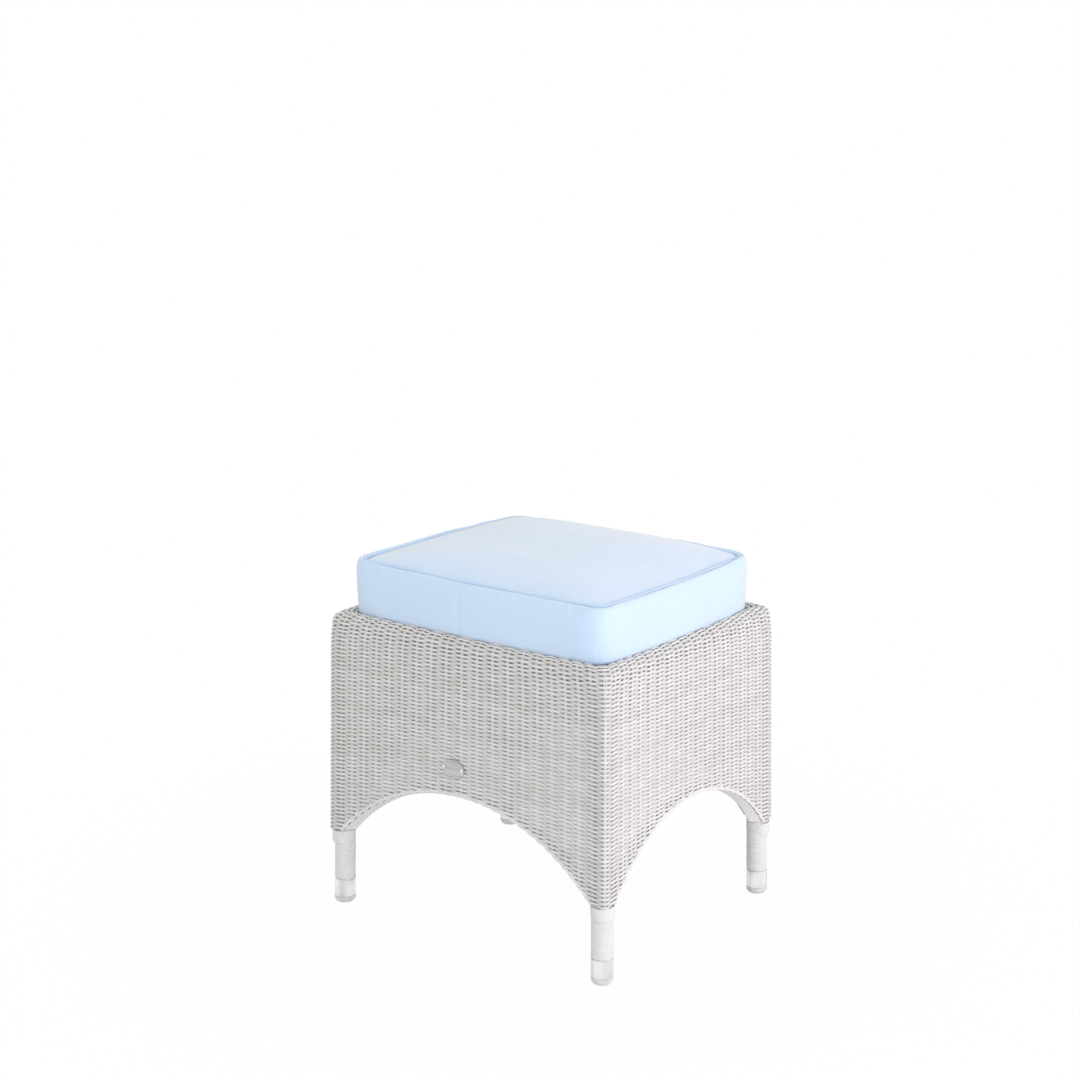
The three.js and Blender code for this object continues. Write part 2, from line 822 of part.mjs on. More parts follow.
function cushion() {
  const group = new THREE.Group();
  const cover = cut(cushionForm(0), cushionForm(coverWall), zipOpening(), zipSlit());
  const foam = cut(cushionForm(coverWall + foamGap), zipOpening());
  group.add(
    named("cushion_cover", cover, coverMaterial),
    named("foam_core", foam, foamMaterial),
    named("cushion_piping_top", piping(cushionSeamHeight), pipingMaterial),
    named("cushion_piping_bottom", piping(cushionBottom + pipingRadius), pipingMaterial),
    named("zip_tape", zipTape(), zipMaterial),
    named("zip_slider", zipSlider(), badgeMaterial),
  );
  return group;
}

const footstool = new THREE.Group();
footstool.add(legs(), rails(), skirt(), badge(), cushion());

export default footstool;
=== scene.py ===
"""The looks of a woven footstool: its weave strand by strand, the rolled rim and the arch edges, the
wrapped legs with metal ferrules, the piped cushion and the bare badge, in plain studio light. Lengths
are in metres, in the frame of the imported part: X to the right, Y to the back, Z up from the floor."""

import json
import math
import sys
from collections import namedtuple

import bpy
import numpy as np
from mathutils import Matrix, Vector

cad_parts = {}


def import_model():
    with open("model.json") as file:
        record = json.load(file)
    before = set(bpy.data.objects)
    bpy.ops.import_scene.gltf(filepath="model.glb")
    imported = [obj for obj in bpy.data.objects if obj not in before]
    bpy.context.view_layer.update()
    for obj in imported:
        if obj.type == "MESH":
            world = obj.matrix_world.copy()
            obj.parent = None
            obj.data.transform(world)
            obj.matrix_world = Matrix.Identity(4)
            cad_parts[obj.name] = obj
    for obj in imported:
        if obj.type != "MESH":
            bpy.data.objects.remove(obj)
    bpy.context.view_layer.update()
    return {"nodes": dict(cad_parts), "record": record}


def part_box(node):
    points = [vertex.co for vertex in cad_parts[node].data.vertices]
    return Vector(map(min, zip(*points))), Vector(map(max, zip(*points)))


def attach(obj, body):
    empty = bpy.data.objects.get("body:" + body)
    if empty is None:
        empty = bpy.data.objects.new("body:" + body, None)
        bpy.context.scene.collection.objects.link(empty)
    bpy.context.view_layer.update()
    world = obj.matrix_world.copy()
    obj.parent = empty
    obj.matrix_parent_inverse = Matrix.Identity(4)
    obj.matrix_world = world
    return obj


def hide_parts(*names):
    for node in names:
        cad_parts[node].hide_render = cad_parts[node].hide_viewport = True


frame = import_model()
random = np.random.default_rng(seed=7)

# Places read from the frame
FEET = {mount["name"].removeprefix("foot_"): mount["pos_m"][:2] for mount in frame["record"]["mounts"]}
HALF_X, HALF_Y = FEET["rear_right"]  # of the leg axes
SKIRT_BOTTOM, RIM_TOP = (corner.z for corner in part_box("woven_panel_front"))

# The skirt
LEAN = 0.0171  # how far the legs lean in, as a share of the height
SKIRT_REACH = 0.0168  # from the leg axes out to the crests of the weave
RIM_RADIUS = 0.014
RAIL_REACH = SKIRT_REACH - RIM_RADIUS
RAIL_HEIGHT = RIM_TOP - RIM_RADIUS
SEAT_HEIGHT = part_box("seat_slat_1")[1].z
ARCH_TOPS = (0.195, 0.1915) * 2  # on the front, right, rear and left
ARCH_SPRING_INSET = 0.008
CORNER_RADIUS = 0.008  # of the upright corners, at the crests of the weave
CORNER_FLAT = SKIRT_REACH - CORNER_RADIUS  # how far the flats run on past the leg axes
CORNER_PATH = CORNER_FLAT + CORNER_RADIUS * math.pi / 4
LEAST_CORNER = 0.0032
BORDER = 0.0032  # from an arch's edge to where the rows turn in behind the strands along it
RIM_ROUNDING = 0.006  # extra plan radius of the corners at the rim

# The weave
STRAND = 0.0026  # of a round strand
ROW_WIDTH, ROW_THICKNESS = 0.0032, 0.0022  # of the strands that go round, which are pressed flat
ROW_PITCH = 0.00272
ROW_BOW = 0.01  # how much higher a row is between two legs than at them, where it passes the arches
BOW_DEPTH = 0.198  # how far below the rail it bows so much
BOW_GROWTH, MOST_DEPTH = 1.2, 1.1  # how the bow grows with the depth, and where it stops, as a share
STAKE_COUNTS = np.array([20, 19] * 2)
STAKE_SPREADS = np.array([0.13, 0.108] * 2)  # how much closer they stand at the legs
STAKE_WIDTH = 0.0023
STAKE_THICKNESS = 0.003
FLAT_MIDDLE, FLAT_SWING = 0.0143, 0.0013  # reach of the weave's middle, and how far strands leave it
LEG_MIDDLE, LEG_SWING = 0.01465, 0.00105
LEG_STAKE_SINK = 0.0008  # how much deeper and thinner the stakes on the legs are
RIM_MIDDLE, RIM_SWING = 0.0109, 0.002  # about the top rail
ROLL_ROWS = 15
INNER_ROWS = 8
POINTS_PER_STAKE = 4
STRAND_SIDES, SMOOTH_SIDES, ROUND_SIDES = 6, 8, 12  # round a tube, the more the closer it is seen

# The legs
LEG_RADIUS = 0.0125
FERRULE_BOTTOM, FERRULE_TOP = (corner.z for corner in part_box("leg_ferrule_front_right"))
FOOT_RADIUS = 0.014


def smoothstep(low, high, value):
    share = np.clip((np.asarray(value, float) - low) / (high - low), 0, 1)
    return share * share * (3 - 2 * share)


# Plan of the stool

QUARTERS = ((1, 1), (-1, 1), (-1, -1), (1, -1))  # signs of the corners, anticlockwise
SIDES = range(len(ARCH_TOPS))
SIDE_STARTS = np.concatenate([[0], np.cumsum(STAKE_COUNTS)[:-1]])
STAKES = int(STAKE_COUNTS.sum())
SIDE_ALONG = np.array([(1, 0), (0, 1), (-1, 0), (0, -1)], float)
SIDE_OUT = np.array([(0, -1), (1, 0), (0, 1), (-1, 0)], float)
SIDE_HALF = np.array([HALF_X, HALF_Y] * 2)
SIDE_DEPTH = np.array([HALF_Y, HALF_X] * 2)
SIDE_PATHS = 2 * (SIDE_HALF + CORNER_PATH)
SIDE_SAMPLES = np.linspace(0, 0.999, 1000)  # shares of a side at which its places are looked up
CROSSING_SAMPLES = 800


def lean_in(points):
    """Narrows points upwards, as the legs do."""
    leaned = points.copy()
    leaned[:, :2] -= LEAN * points[:, 2:] * np.clip(points[:, :2] / (HALF_X, HALF_Y), -1, 1)
    return leaned


def rim_rounding(height):
    return RIM_ROUNDING * smoothstep(RAIL_HEIGHT - 2 * RIM_RADIUS, RIM_TOP, height)


def side_share(stake):
    """The side that each place lies on, and its share of that side's stakes."""
    wrapped = np.asarray(stake, float) % STAKES
    index = np.searchsorted(SIDE_STARTS, wrapped, side="right") - 1
    return index, (wrapped - SIDE_STARTS[index]) / STAKE_COUNTS[index]


def side_of(stake):
    """The side that each place lies on, and how far it is along that side's path from its middle."""
    index, share = side_share(stake)
    closer = STAKE_SPREADS[index] * np.sin(2 * math.pi * share) / (2 * math.pi)
    return index, SIDE_PATHS[index] * (share - 0.5 - closer)


def stake_gap(stake):
    """The distance between neighbouring stakes at a place."""
    index, share = side_share(stake)
    even = SIDE_PATHS[index] / STAKE_COUNTS[index]
    return even * (1 - STAKE_SPREADS[index] * np.cos(2 * math.pi * share))


def around(stake, reach, height):
    """Points on a band round the stool, and the directions straight out from it. A place along the
    band is counted in stakes from the front left corner, and reach is measured from the leg axes."""
    stake, reach, height = np.broadcast_arrays(np.asarray(stake, float), reach, height)
    index, path = side_of(stake)
    flat = SIDE_HALF[index] + CORNER_FLAT
    turn = np.clip((np.abs(path) - flat) / CORNER_RADIUS, 0, math.pi / 4)
    radius = np.maximum(reach - CORNER_FLAT, LEAST_CORNER) + rim_rounding(height)
    back = reach - radius
    sign = np.sign(path)
    along = np.clip(path / flat, -1, 1) * (SIDE_HALF[index] + back) + sign * radius * np.sin(turn)
    out = SIDE_DEPTH[index] + back + radius * np.cos(turn)
    plan = SIDE_ALONG[index] * along[:, None] + SIDE_OUT[index] * out[:, None]
    outward = (SIDE_OUT[index] * np.cos(turn)[:, None]
               + SIDE_ALONG[index] * (sign * np.sin(turn))[:, None])
    points = lean_in(np.column_stack([plan, height]))
    return points, np.column_stack([outward, np.zeros(len(points))])


def stake_at(side, along):
    """The place, in stakes, of a point that lies so far from the middle of a side."""
    places = SIDE_STARTS[side] + STAKE_COUNTS[side] * SIDE_SAMPLES
    return np.interp(along, side_of(places)[1], places)


def arch_circle(side):
    """Radius and centre height of a side's arch."""
    rise = ARCH_TOPS[side] - SKIRT_BOTTOM
    half = SIDE_HALF[side] - ARCH_SPRING_INSET
    radius = (rise * rise + half * half) / (2 * rise)
    return radius, ARCH_TOPS[side] - radius


def border_height(side, along):
    """Height of the line over an arch where the rows turn in."""
    radius, centre = arch_circle(side)
    return centre + np.sqrt(np.maximum((radius + BORDER) ** 2 - np.square(along), 0))


def row_rise(index, along, height):
    """How much higher a row lies at a place on a side than at the legs, where it has its height."""
    below = np.clip((RAIL_HEIGHT - height) / BOW_DEPTH, 0, MOST_DEPTH)
    return ROW_BOW * below ** BOW_GROWTH * (1 - np.clip(np.square(along / SIDE_HALF[index]), 0, 1))


def arch_crossing(side, height):
    """How far from the middle of a side a row meets the arch's border, or 0 where it passes above."""
    along = np.linspace(0, SIDE_HALF[side] - ARCH_SPRING_INSET + BORDER, CROSSING_SAMPLES)
    under = height + row_rise(side, along, height) < border_height(side, along)
    return float(along[under].max()) if under.any() else 0.0


# Mesh building

def circle(steps):
    """Cosines and sines of even steps once round."""
    angles = 2 * math.pi * np.arange(steps) / steps
    return np.cos(angles), np.sin(angles)


def unit(directions):
    return directions / np.linalg.norm(directions, axis=1, keepdims=True)


class Batch:
    """Collects swept strands into one mesh, each with a tone of its own between 0 and 1. The painted shade of
    points that lie under other strands is kept with them, from 0 for none to 1 for the darkest."""

    def __init__(self):
        self.parts, self.count = [], 0

    def tube(self, centres, outward, width, thickness, closed=False, tone=0.5, depth=0.0,
             sides=STRAND_SIDES):
        centres = np.asarray(centres, float)
        if closed:
            tangent = unit(np.roll(centres, -1, 0) - np.roll(centres, 1, 0))
        else:
            tangent = unit(np.gradient(centres, axis=0))
        across = unit(np.cross(tangent, outward))
        up = np.cross(across, tangent)
        width, thickness = (np.reshape(size, (-1, 1)) / 2 for size in (width, thickness))
        high, wide = circle(sides)
        ring = up[:, None] * (thickness * high)[..., None] + across[:, None] * (width * wide)[..., None]
        depth = np.repeat(np.broadcast_to(depth, len(centres)), sides)
        faces = ring_faces(len(centres), sides, closed)
        self.add((centres[:, None] + ring).reshape(-1, 3), faces, tone, depth)

    def add(self, points, faces, tone=0.5, depth=0.0):
        shades = [np.broadcast_to(value, len(points)) for value in (tone, depth)]
        self.parts.append((points, faces + self.count, *shades))
        self.count += len(points)

    def build(self, name, material):
        points, faces, tones, under_shades = (np.concatenate(parts) for parts in zip(*self.parts))
        mesh = bpy.data.meshes.new(name)
        mesh.vertices.add(len(points))
        mesh.vertices.foreach_set("co", points.astype(np.float32).ravel())
        mesh.loops.add(faces.size)
        mesh.loops.foreach_set("vertex_index", faces.astype(np.int32).ravel())
        mesh.polygons.add(len(faces))
        mesh.polygons.foreach_set("loop_start", np.arange(0, faces.size, 4, dtype=np.int32))
        mesh.update(calc_edges=True)
        mesh.shade_smooth()
        for label, values in (("tone", tones), ("depth", under_shades)):
            layer = mesh.attributes.new(label, "FLOAT", "POINT")
            layer.data.foreach_set("value", values.astype(np.float32))
        mesh.materials.append(material)
        return linked(name, mesh)


def linked(name, data):
    """A new object in the scene that holds a mesh, lamp or camera."""
    holder = bpy.data.objects.new(name, data)
    bpy.context.scene.collection.objects.link(holder)
    return holder


def ring_faces(rings, sides, closed=False, capped=True):
    """Quads that join rings of points into a tube, with caps of quads at open ends."""
    first = np.arange(rings if closed else rings - 1)[:, None] * sides
    second = (first + sides) % (rings * sides)
    here = np.arange(sides)
    after = (here + 1) % sides
    quads = np.stack([first + here, first + after, second + after, second + here], axis=-1)
    faces = [quads.reshape(-1, 4)]
    if not closed and capped:
        for i in range(1, sides - 1, 2):
            cap = np.array([[0, i, i + 1, (i + 2) % sides]])
            faces += [cap[:, ::-1], (rings - 1) * sides + cap]
    return np.concatenate(faces)


def repaint(piece, look):
    """Gives a piece one material in place of its own."""
    piece.data.materials.clear()
    piece.data.materials.append(look)


def place(piece, body, slot, *nodes):
    """Says which body a piece moves with and which nodes it stands for. What it is made of, the slot, is not
    used.
    """
    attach(piece, body)
    if nodes:
        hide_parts(*nodes)


TURNED_SIDES = 64


def turned(name, material, outline, centre):
    """A solid of revolution about an upright axis, from radius and height pairs up the outside."""
    across, deep = circle(TURNED_SIDES)
    rings = [np.column_stack([centre[0] + radius * across, centre[1] + radius * deep,
                              np.full(TURNED_SIDES, height)]) for radius, height in outline]
    batch = Batch()
    batch.add(lean_in(np.concatenate(rings)), ring_faces(len(outline), TURNED_SIDES))
    return batch.build(name, material)


# Materials

def feed(tree, node, inputs):
    """Links inputs of a shader node to sockets or sets them to values, by name or number."""
    for name, value in inputs.items():
        if isinstance(value, bpy.types.NodeSocket):
            tree.links.new(value, node.inputs[name])
        else:
            node.inputs[name].default_value = value


def principled(name, color, roughness, **inputs):
    """A new material, with its node tree and its Principled shader. Inputs are named with underscores."""
    material = bpy.data.materials.new(name)
    material.use_nodes = True
    tree = material.node_tree
    shader = tree.nodes["Principled BSDF"]
    feed(tree, shader, {"Base Color": (*color, 1), "Roughness": roughness})
    feed(tree, shader, {label.replace("_", " "): value for label, value in inputs.items()})
    return material, tree, shader


def new_node(tree, kind, inputs, **settings):
    node = tree.nodes.new("ShaderNode" + kind)
    for name, value in settings.items():
        setattr(node, name, value)
    feed(tree, node, inputs)
    return node


def coordinates(tree, stretch=(1, 1, 1)):
    source = new_node(tree, "TexCoord", {}).outputs["Object"]
    return new_node(tree, "Mapping", {"Scale": stretch, "Vector": source}).outputs["Vector"]


def noise(tree, scale, detail, stretch=(1, 1, 1)):
    inputs = {"Scale": scale, "Detail": detail, "Vector": coordinates(tree, stretch)}
    return new_node(tree, "TexNoise", inputs).outputs["Fac"]


def attribute(tree, name):
    return new_node(tree, "Attribute", {}, attribute_name=name).outputs["Fac"]


def ramp(tree, factor, low, high, start=0.0, end=1.0):
    node = new_node(tree, "ValToRGB", {"Fac": factor})
    for element, position, color in zip(node.color_ramp.elements, (start, end), (low, high)):
        element.position = position
        element.color = (*color, 1)
    return node.outputs["Color"]


def blended(tree, first, second, share, mode="MIX"):
    inputs = {"Factor": share, "A": first, "B": second}
    return new_node(tree, "Mix", inputs, data_type="RGBA", blend_type=mode).outputs["Result"]


def combined(tree, operation, first, second):
    return new_node(tree, "Math", {0: first, 1: second}, operation=operation).outputs["Value"]


def tint(tree, shader, texture, low, high, start=0.3, end=0.7):
    """Lets a texture take the base colour from one tone to another."""
    feed(tree, shader, {"Base Color": ramp(tree, texture, low, high, start, end)})


def roughen(tree, shader, texture, low, high):
    """Lets a texture take the roughness from one value to another."""
    spread = new_node(tree, "MapRange", {"Value": texture, "To Min": low, "To Max": high})
    feed(tree, shader, {"Roughness": spread.outputs["Result"]})


def bump(tree, shader, height, distance, strength):
    raised = new_node(tree, "Bump", {"Height": height, "Distance": distance, "Strength": strength})
    feed(tree, shader, {"Normal": raised.outputs["Normal"]})


def strand_material():
    """Off-white extruded strand: slightly uneven in tone from strand to strand, with a fine grain, and with
    painted shade where it passes under other strands.
    """
    material, tree, shader = principled("woven_strand", (0.72, 0.71, 0.68), 0.6, Specular_IOR_Level=0.2)
    by_strand = ramp(tree, attribute(tree, "tone"), (0.65, 0.64, 0.6), (0.79, 0.78, 0.745))
    by_place = ramp(tree, noise(tree, 55, 4), (0.66, 0.65, 0.61), (0.8, 0.79, 0.76), 0.3, 0.7)
    # painted shade: the colour is darkened down to 0.3 of itself where a strand passes under others
    painted_under_shade = ramp(tree, attribute(tree, "depth"), (1, 1, 1), (0.3, 0.29, 0.28))
    plain = blended(tree, by_strand, by_place, 0.45)
    feed(tree, shader, {"Base Color": blended(tree, plain, painted_under_shade, 1, "MULTIPLY")})
    roughen(tree, shader, noise(tree, 140, 2), 0.52, 0.7)
    bump(tree, shader, noise(tree, 1600, 2), 0.00012, 0.5)
    return material


def wrap_material():
    """The flat strand on the legs and arch edges, a little lighter and smoother than the weave."""
    material, tree, shader = principled("wrapped_strand", (0.71, 0.7, 0.69), 0.5, Specular_IOR_Level=0.3)
    tint(tree, shader, noise(tree, 80, 3), (0.72, 0.712, 0.68), (0.765, 0.757, 0.725))
    bump(tree, shader, noise(tree, 1400, 2), 0.0001, 0.4)
    return material


def paint_material():
    """Satin powder coat with a faint orange peel."""
    material, tree, shader = principled("powder_coat", (0.72, 0.71, 0.68), 0.42)
    tint(tree, shader, noise(tree, 30, 2), (0.68, 0.67, 0.645), (0.76, 0.75, 0.725), 0.35, 0.65)
    bump(tree, shader, noise(tree, 900, 1), 0.00008, 0.5)
    return material


def ferrule_material():
    """Bright metal, brushed along the leg, with broad upright bands of painted reflection in its colour."""
    material, tree, shader = principled("brushed_metal", (0.86, 0.86, 0.87), 0.5, Metallic=1)
    streaks = noise(tree, 420, 2, (1, 1, 0.03))
    fine = ramp(tree, streaks, (0.82, 0.82, 0.83), (0.93, 0.93, 0.94), 0.3, 0.7)
    # painted reflections: broad upright light and dark bands in the base colour, as a round metal sleeve
    # shows them
    painted_reflection_bands = ramp(tree, noise(tree, 95, 1, (1, 1, 0.02)), (0.68, 0.7, 0.69), (0.95, 0.95, 0.96), 0.36, 0.56)
    feed(tree, shader, {"Base Color": blended(tree, fine, painted_reflection_bands, 0.6)})
    roughen(tree, shader, streaks, 0.45, 0.58)
    bump(tree, shader, streaks, 0.00003, 0.4)
    return material


def glide_material():
    """Moulded pale plastic, unevenly scuffed."""
    material, tree, shader = principled("moulded_plastic", (0.65, 0.64, 0.64), 0.4)
    tint(tree, shader, noise(tree, 120, 3), (0.6, 0.59, 0.59), (0.69, 0.68, 0.68), 0.35, 0.65)
    bump(tree, shader, noise(tree, 700, 3), 0.0001, 0.4)
    return material


CANVAS_THREADS = 260  # scale of the wave texture, whose crests then lie 1.2 mm apart


def canvas_weave(tree):
    """Height of a plain canvas weave, with threads along two directions of each face."""
    inputs = {"Scale": CANVAS_THREADS, "Distortion": 1.2, "Detail": 1, "Vector": coordinates(tree)}
    waves = [new_node(tree, "TexWave", inputs, bands_direction=axis).outputs["Fac"] for axis in "XYZ"]
    both = combined(tree, "ADD", waves[0], waves[1])
    return combined(tree, "ADD", both, waves[2])


def canvas_material(name, shadow, color, light):
    """Pale blue outdoor canvas with a soft sheen and a slight slub."""
    material, tree, shader = principled(name, color, 0.85, Specular_IOR_Level=0.2, Sheen_Weight=1,
                                        Sheen_Roughness=0.45, Sheen_Tint=(1, 0.95, 0.87, 1))
    broad = ramp(tree, noise(tree, 14, 3), shadow, light, 0.25, 0.75)
    slub = ramp(tree, noise(tree, 420, 2, (1, 1, 0.3)), shadow, light, 0.3, 0.7)
    feed(tree, shader, {"Base Color": blended(tree, broad, slub, 0.35)})
    bump(tree, shader, canvas_weave(tree), 0.00012, 0.6)
    return material


def badge_material():
    """Lightly brushed plate."""
    material, tree, shader = principled("badge_metal", (0.46, 0.45, 0.45), 0.34, Metallic=1)
    streaks = noise(tree, 500, 2, (0.05, 1, 1))
    tint(tree, shader, streaks, (0.46, 0.45, 0.45), (0.62, 0.6, 0.6))
    bump(tree, shader, streaks, 0.00005, 0.5)
    return material


def zip_material():
    """Finely woven tape, a little darker than the canvas."""
    material, tree, shader = principled("zip_tape_weave", (0.5, 0.64, 0.78), 0.7)
    tint(tree, shader, noise(tree, 300, 2), (0.45, 0.6, 0.76), (0.56, 0.7, 0.84))
    bump(tree, shader, noise(tree, 1200, 1), 0.0001, 0.6)
    return material


STRAND_LOOK = strand_material()
WRAP_LOOK = wrap_material()
PAINT_LOOK = paint_material()
FERRULE_LOOK = ferrule_material()
GLIDE_LOOK = glide_material()
CANVAS_LOOK = canvas_material("pale_canvas", (0.565, 0.722, 0.89), (0.595, 0.742, 0.905),
                              (0.625, 0.762, 0.92))
# The piping is of the cover's own canvas, painted darker: painted shade for the dark line along the seams.
PIPING_SHADED_LOOK = canvas_material("piping_canvas", (0.46, 0.63, 0.83), (0.5, 0.66, 0.85), (0.54, 0.69, 0.87))
BADGE_LOOK = badge_material()
ZIP_LOOK = zip_material()


# The weave

FLOAT_FLATNESS = 1.15  # of a strand over a stake, where its wave is cut off at 1
ROW_WAVES = ((5, 0.00006), (13, 0.00005), (23, 0.00004))  # times round the stool, and size
FLAT_UNDER_SHADE, LEG_UNDER_SHADE = 0.4, 0.7  # strength of the painted shade on strands where they pass under, on the flats and on the legs
EDGE_TURN = 0.05  # how far before an arch's edge a row starts to turn behind it, in stakes
FACE_POINTS = 8  # along a stake, from the bottom to where the rim starts
STAKE_DRIFT = 0.0004
# The stakes take only the lighter strand tones: painted light, so that they stay pale where they show in the
# shade between the rows.
STAKE_LIGHTENED_TONES = (0.6, 1)


def near_leg(stake):
    """1 where the strands lie on a leg, and 0 on the flats between the legs."""
    index, path = side_of(stake)
    edge = SIDE_HALF[index]
    return smoothstep(edge - LEG_RADIUS - STRAND, edge - LEG_RADIUS / 2, np.abs(path))


def float_wave(stake):
    """How a strand leaves the weave's middle: flat over each stake, crossing midway between two."""
    return np.clip(FLOAT_FLATNESS * np.cos(np.pi * np.asarray(stake)), -1, 1)


Row = namedtuple("Row", "number reach height slope swing wave_starts tone")


def rows():
    """The strands up the face, over the rim and down to the seat, counted from the bottom."""
    lines = []
    face_rows = round((RAIL_HEIGHT - SKIRT_BOTTOM) / ROW_PITCH)
    for i in range(face_rows):
        height = SKIRT_BOTTOM + (i + 0.5) * (RAIL_HEIGHT - SKIRT_BOTTOM) / face_rows
        rise = float(smoothstep(RAIL_HEIGHT - RIM_RADIUS, RAIL_HEIGHT, height))
        middle = FLAT_MIDDLE + rise * (RAIL_REACH + RIM_MIDDLE - FLAT_MIDDLE)
        lines.append((middle, height, 0, FLAT_SWING + rise * (RIM_SWING - FLAT_SWING)))
    for i in range(ROLL_ROWS):
        angle = math.pi * (i + 0.5) / ROLL_ROWS
        reach = RAIL_REACH + RIM_MIDDLE * math.cos(angle)
        lines.append((reach, RAIL_HEIGHT + RIM_MIDDLE * math.sin(angle), angle, RIM_SWING))
    for i in range(INNER_ROWS):
        lines.append((RAIL_REACH - RIM_MIDDLE, RAIL_HEIGHT - (i + 0.5) * ROW_PITCH, math.pi, RIM_SWING))
    return [Row(number, *line, random.uniform(0, 2 * math.pi, len(ROW_WAVES)), random.uniform(0, 1))
            for number, line in enumerate(lines)]


def row_points(row, stake):
    """Centre line of a row's strand, the directions out of the weave, and its painted shade, which is darkest
    where it passes behind a stake.
    """
    stake = np.asarray(stake, float)
    leg = near_leg(stake) * (row.slope == 0) * float(row.height < RAIL_HEIGHT - RIM_RADIUS / 2)
    middle = row.reach + leg * (LEG_MIDDLE - row.reach)
    swing = row.swing + leg * (LEG_SWING - row.swing)
    parity = 1 if row.number % 2 == 0 else -1
    offset = swing * float_wave(stake) * parity
    sag = sum(np.sin(2 * math.pi * times * stake / STAKES + start) * size
              for (times, size), start in zip(ROW_WAVES, row.wave_starts))
    rise = row_rise(*side_of(stake), row.height)
    reach = middle + offset * math.cos(row.slope) - sag * math.sin(row.slope)
    height = row.height + rise + offset * math.sin(row.slope) + sag * math.cos(row.slope)
    points, plan = around(stake, reach, height)
    outward = plan * math.cos(row.slope)
    outward[:, 2] = math.sin(row.slope)
    # painted shade, from none where the strand lies over a stake to full where it passes behind one
    under = np.square((1 - float_wave(stake) * parity) / 2)
    return points, outward, under * (FLAT_UNDER_SHADE + leg * (LEG_UNDER_SHADE - FLAT_UNDER_SHADE))


def open_spans(height):
    """Stretches of the band, in stakes, between the arches that a row crosses. A row above all of them
    has none and goes all round."""
    halves = [arch_crossing(side, height) for side in SIDES]
    arches = [(stake_at(side, -half), stake_at(side, half)) for side, half in enumerate(halves) if half > 0]
    stops = [first for first, _ in arches[1:] + arches[:1]]
    return [(start, stop if stop > start else stop + STAKES) for (_, start), stop in zip(arches, stops)]


def weave_row(batch, row):
    """A row's strand, whole or in lengths whose ends turn in behind the arches' edges."""
    spans = open_spans(row.height)
    if not spans:
        stake = np.arange(STAKES * POINTS_PER_STAKE) / POINTS_PER_STAKE
        points, outward, depth = row_points(row, stake)
        batch.tube(points, outward, ROW_WIDTH, ROW_THICKNESS, closed=True, tone=row.tone, depth=depth)
    for start, stop in spans:
        first = math.ceil((start + EDGE_TURN) * POINTS_PER_STAKE)
        last = math.floor((stop - EDGE_TURN) * POINTS_PER_STAKE)
        inner = np.arange(first, last + 1) / POINTS_PER_STAKE
        stake = np.concatenate([[start + EDGE_TURN / 2], inner, [stop - EDGE_TURN / 2]])
        points, outward, depth = row_points(row, stake)
        ends = np.array([start, stop])
        end_heights = row.height + row_rise(*side_of(ends), row.height)
        behind, _ = around(ends, FLAT_MIDDLE - FLAT_SWING, end_heights)
        points = np.concatenate([behind[:1], points, behind[1:]])
        outward = np.concatenate([outward[:1], outward, outward[-1:]])
        # the turned-in ends get the full painted shade
        depth = np.concatenate([[1], depth, [1]])
        batch.tube(points, outward, ROW_WIDTH, ROW_THICKNESS, tone=row.tone, depth=depth)


def weave():
    """The strands that go round the skirt, in pieces from the bottom to the inside of the rim."""
    named = {name: Batch() for name in ("weave_below", "weave_middle", "weave_above", "weave_rim")}
    arch_zone = max(ARCH_TOPS)
    half_way = (arch_zone + RAIL_HEIGHT) / 2
    for row in rows():
        if row.slope > 0:
            name = "weave_rim"
        elif row.height < arch_zone:
            name = "weave_below"
        else:
            name = "weave_middle" if row.height < half_way else "weave_above"
        weave_row(named[name], row)
    panels = ["woven_panel_" + side for side in ("front", "right", "rear", "left")]
    for name, batch in named.items():
        nodes = panels if name == "weave_middle" else []
        place(batch.build(name, STRAND_LOOK), "frame", "strand", *nodes)


def stake_line(stake):
    """A stake's centre line, from the skirt's lower edge over the rim to the seat, and the directions
    out of the weave."""
    side, path = side_of(stake)
    low = SKIRT_BOTTOM + STRAND
    if abs(path) < SIDE_HALF[side] - ARCH_SPRING_INSET:
        low = max(low, border_height(side, path))
    leg = float(near_leg(stake))
    middle = FLAT_MIDDLE + leg * (LEG_MIDDLE - LEG_STAKE_SINK - FLAT_MIDDLE)
    high = RAIL_HEIGHT - RIM_RADIUS
    roll = np.linspace(0, math.pi, ROLL_ROWS + 1)
    slopes = np.concatenate([np.zeros(FACE_POINTS + 1), roll, [math.pi]])
    heights = np.concatenate([np.linspace(low, high, FACE_POINTS), [RAIL_HEIGHT - RIM_RADIUS / 2],
                              RAIL_HEIGHT + RIM_MIDDLE * np.sin(roll), [SEAT_HEIGHT + STRAND]])
    reaches = np.concatenate([np.full(FACE_POINTS, middle), [(middle + RAIL_REACH + RIM_MIDDLE) / 2],
                              RAIL_REACH + RIM_MIDDLE * np.cos(roll), [RAIL_REACH - RIM_MIDDLE]])
    points, plan = around(stake, reaches, heights)
    outward = plan * np.cos(slopes)[:, None]
    outward[:, 2] = np.sin(slopes)
    return points, outward


def stakes():
    """The upright pairs of strands that the rows pass over and under."""
    batch = Batch()
    for i in range(STAKES):
        shift = random.uniform(-STAKE_DRIFT, STAKE_DRIFT)
        for aside in (-STAKE_WIDTH / 2, STAKE_WIDTH / 2):
            points, outward = stake_line(i + (shift + aside) / stake_gap(i))
            thickness = STAKE_THICKNESS - LEG_STAKE_SINK * float(near_leg(i))
            batch.tube(points, outward, STAKE_WIDTH, thickness, tone=random.uniform(*STAKE_LIGHTENED_TONES))
    place(batch.build("weave_stakes", STRAND_LOOK), "frame", "strand")


# The arch edges

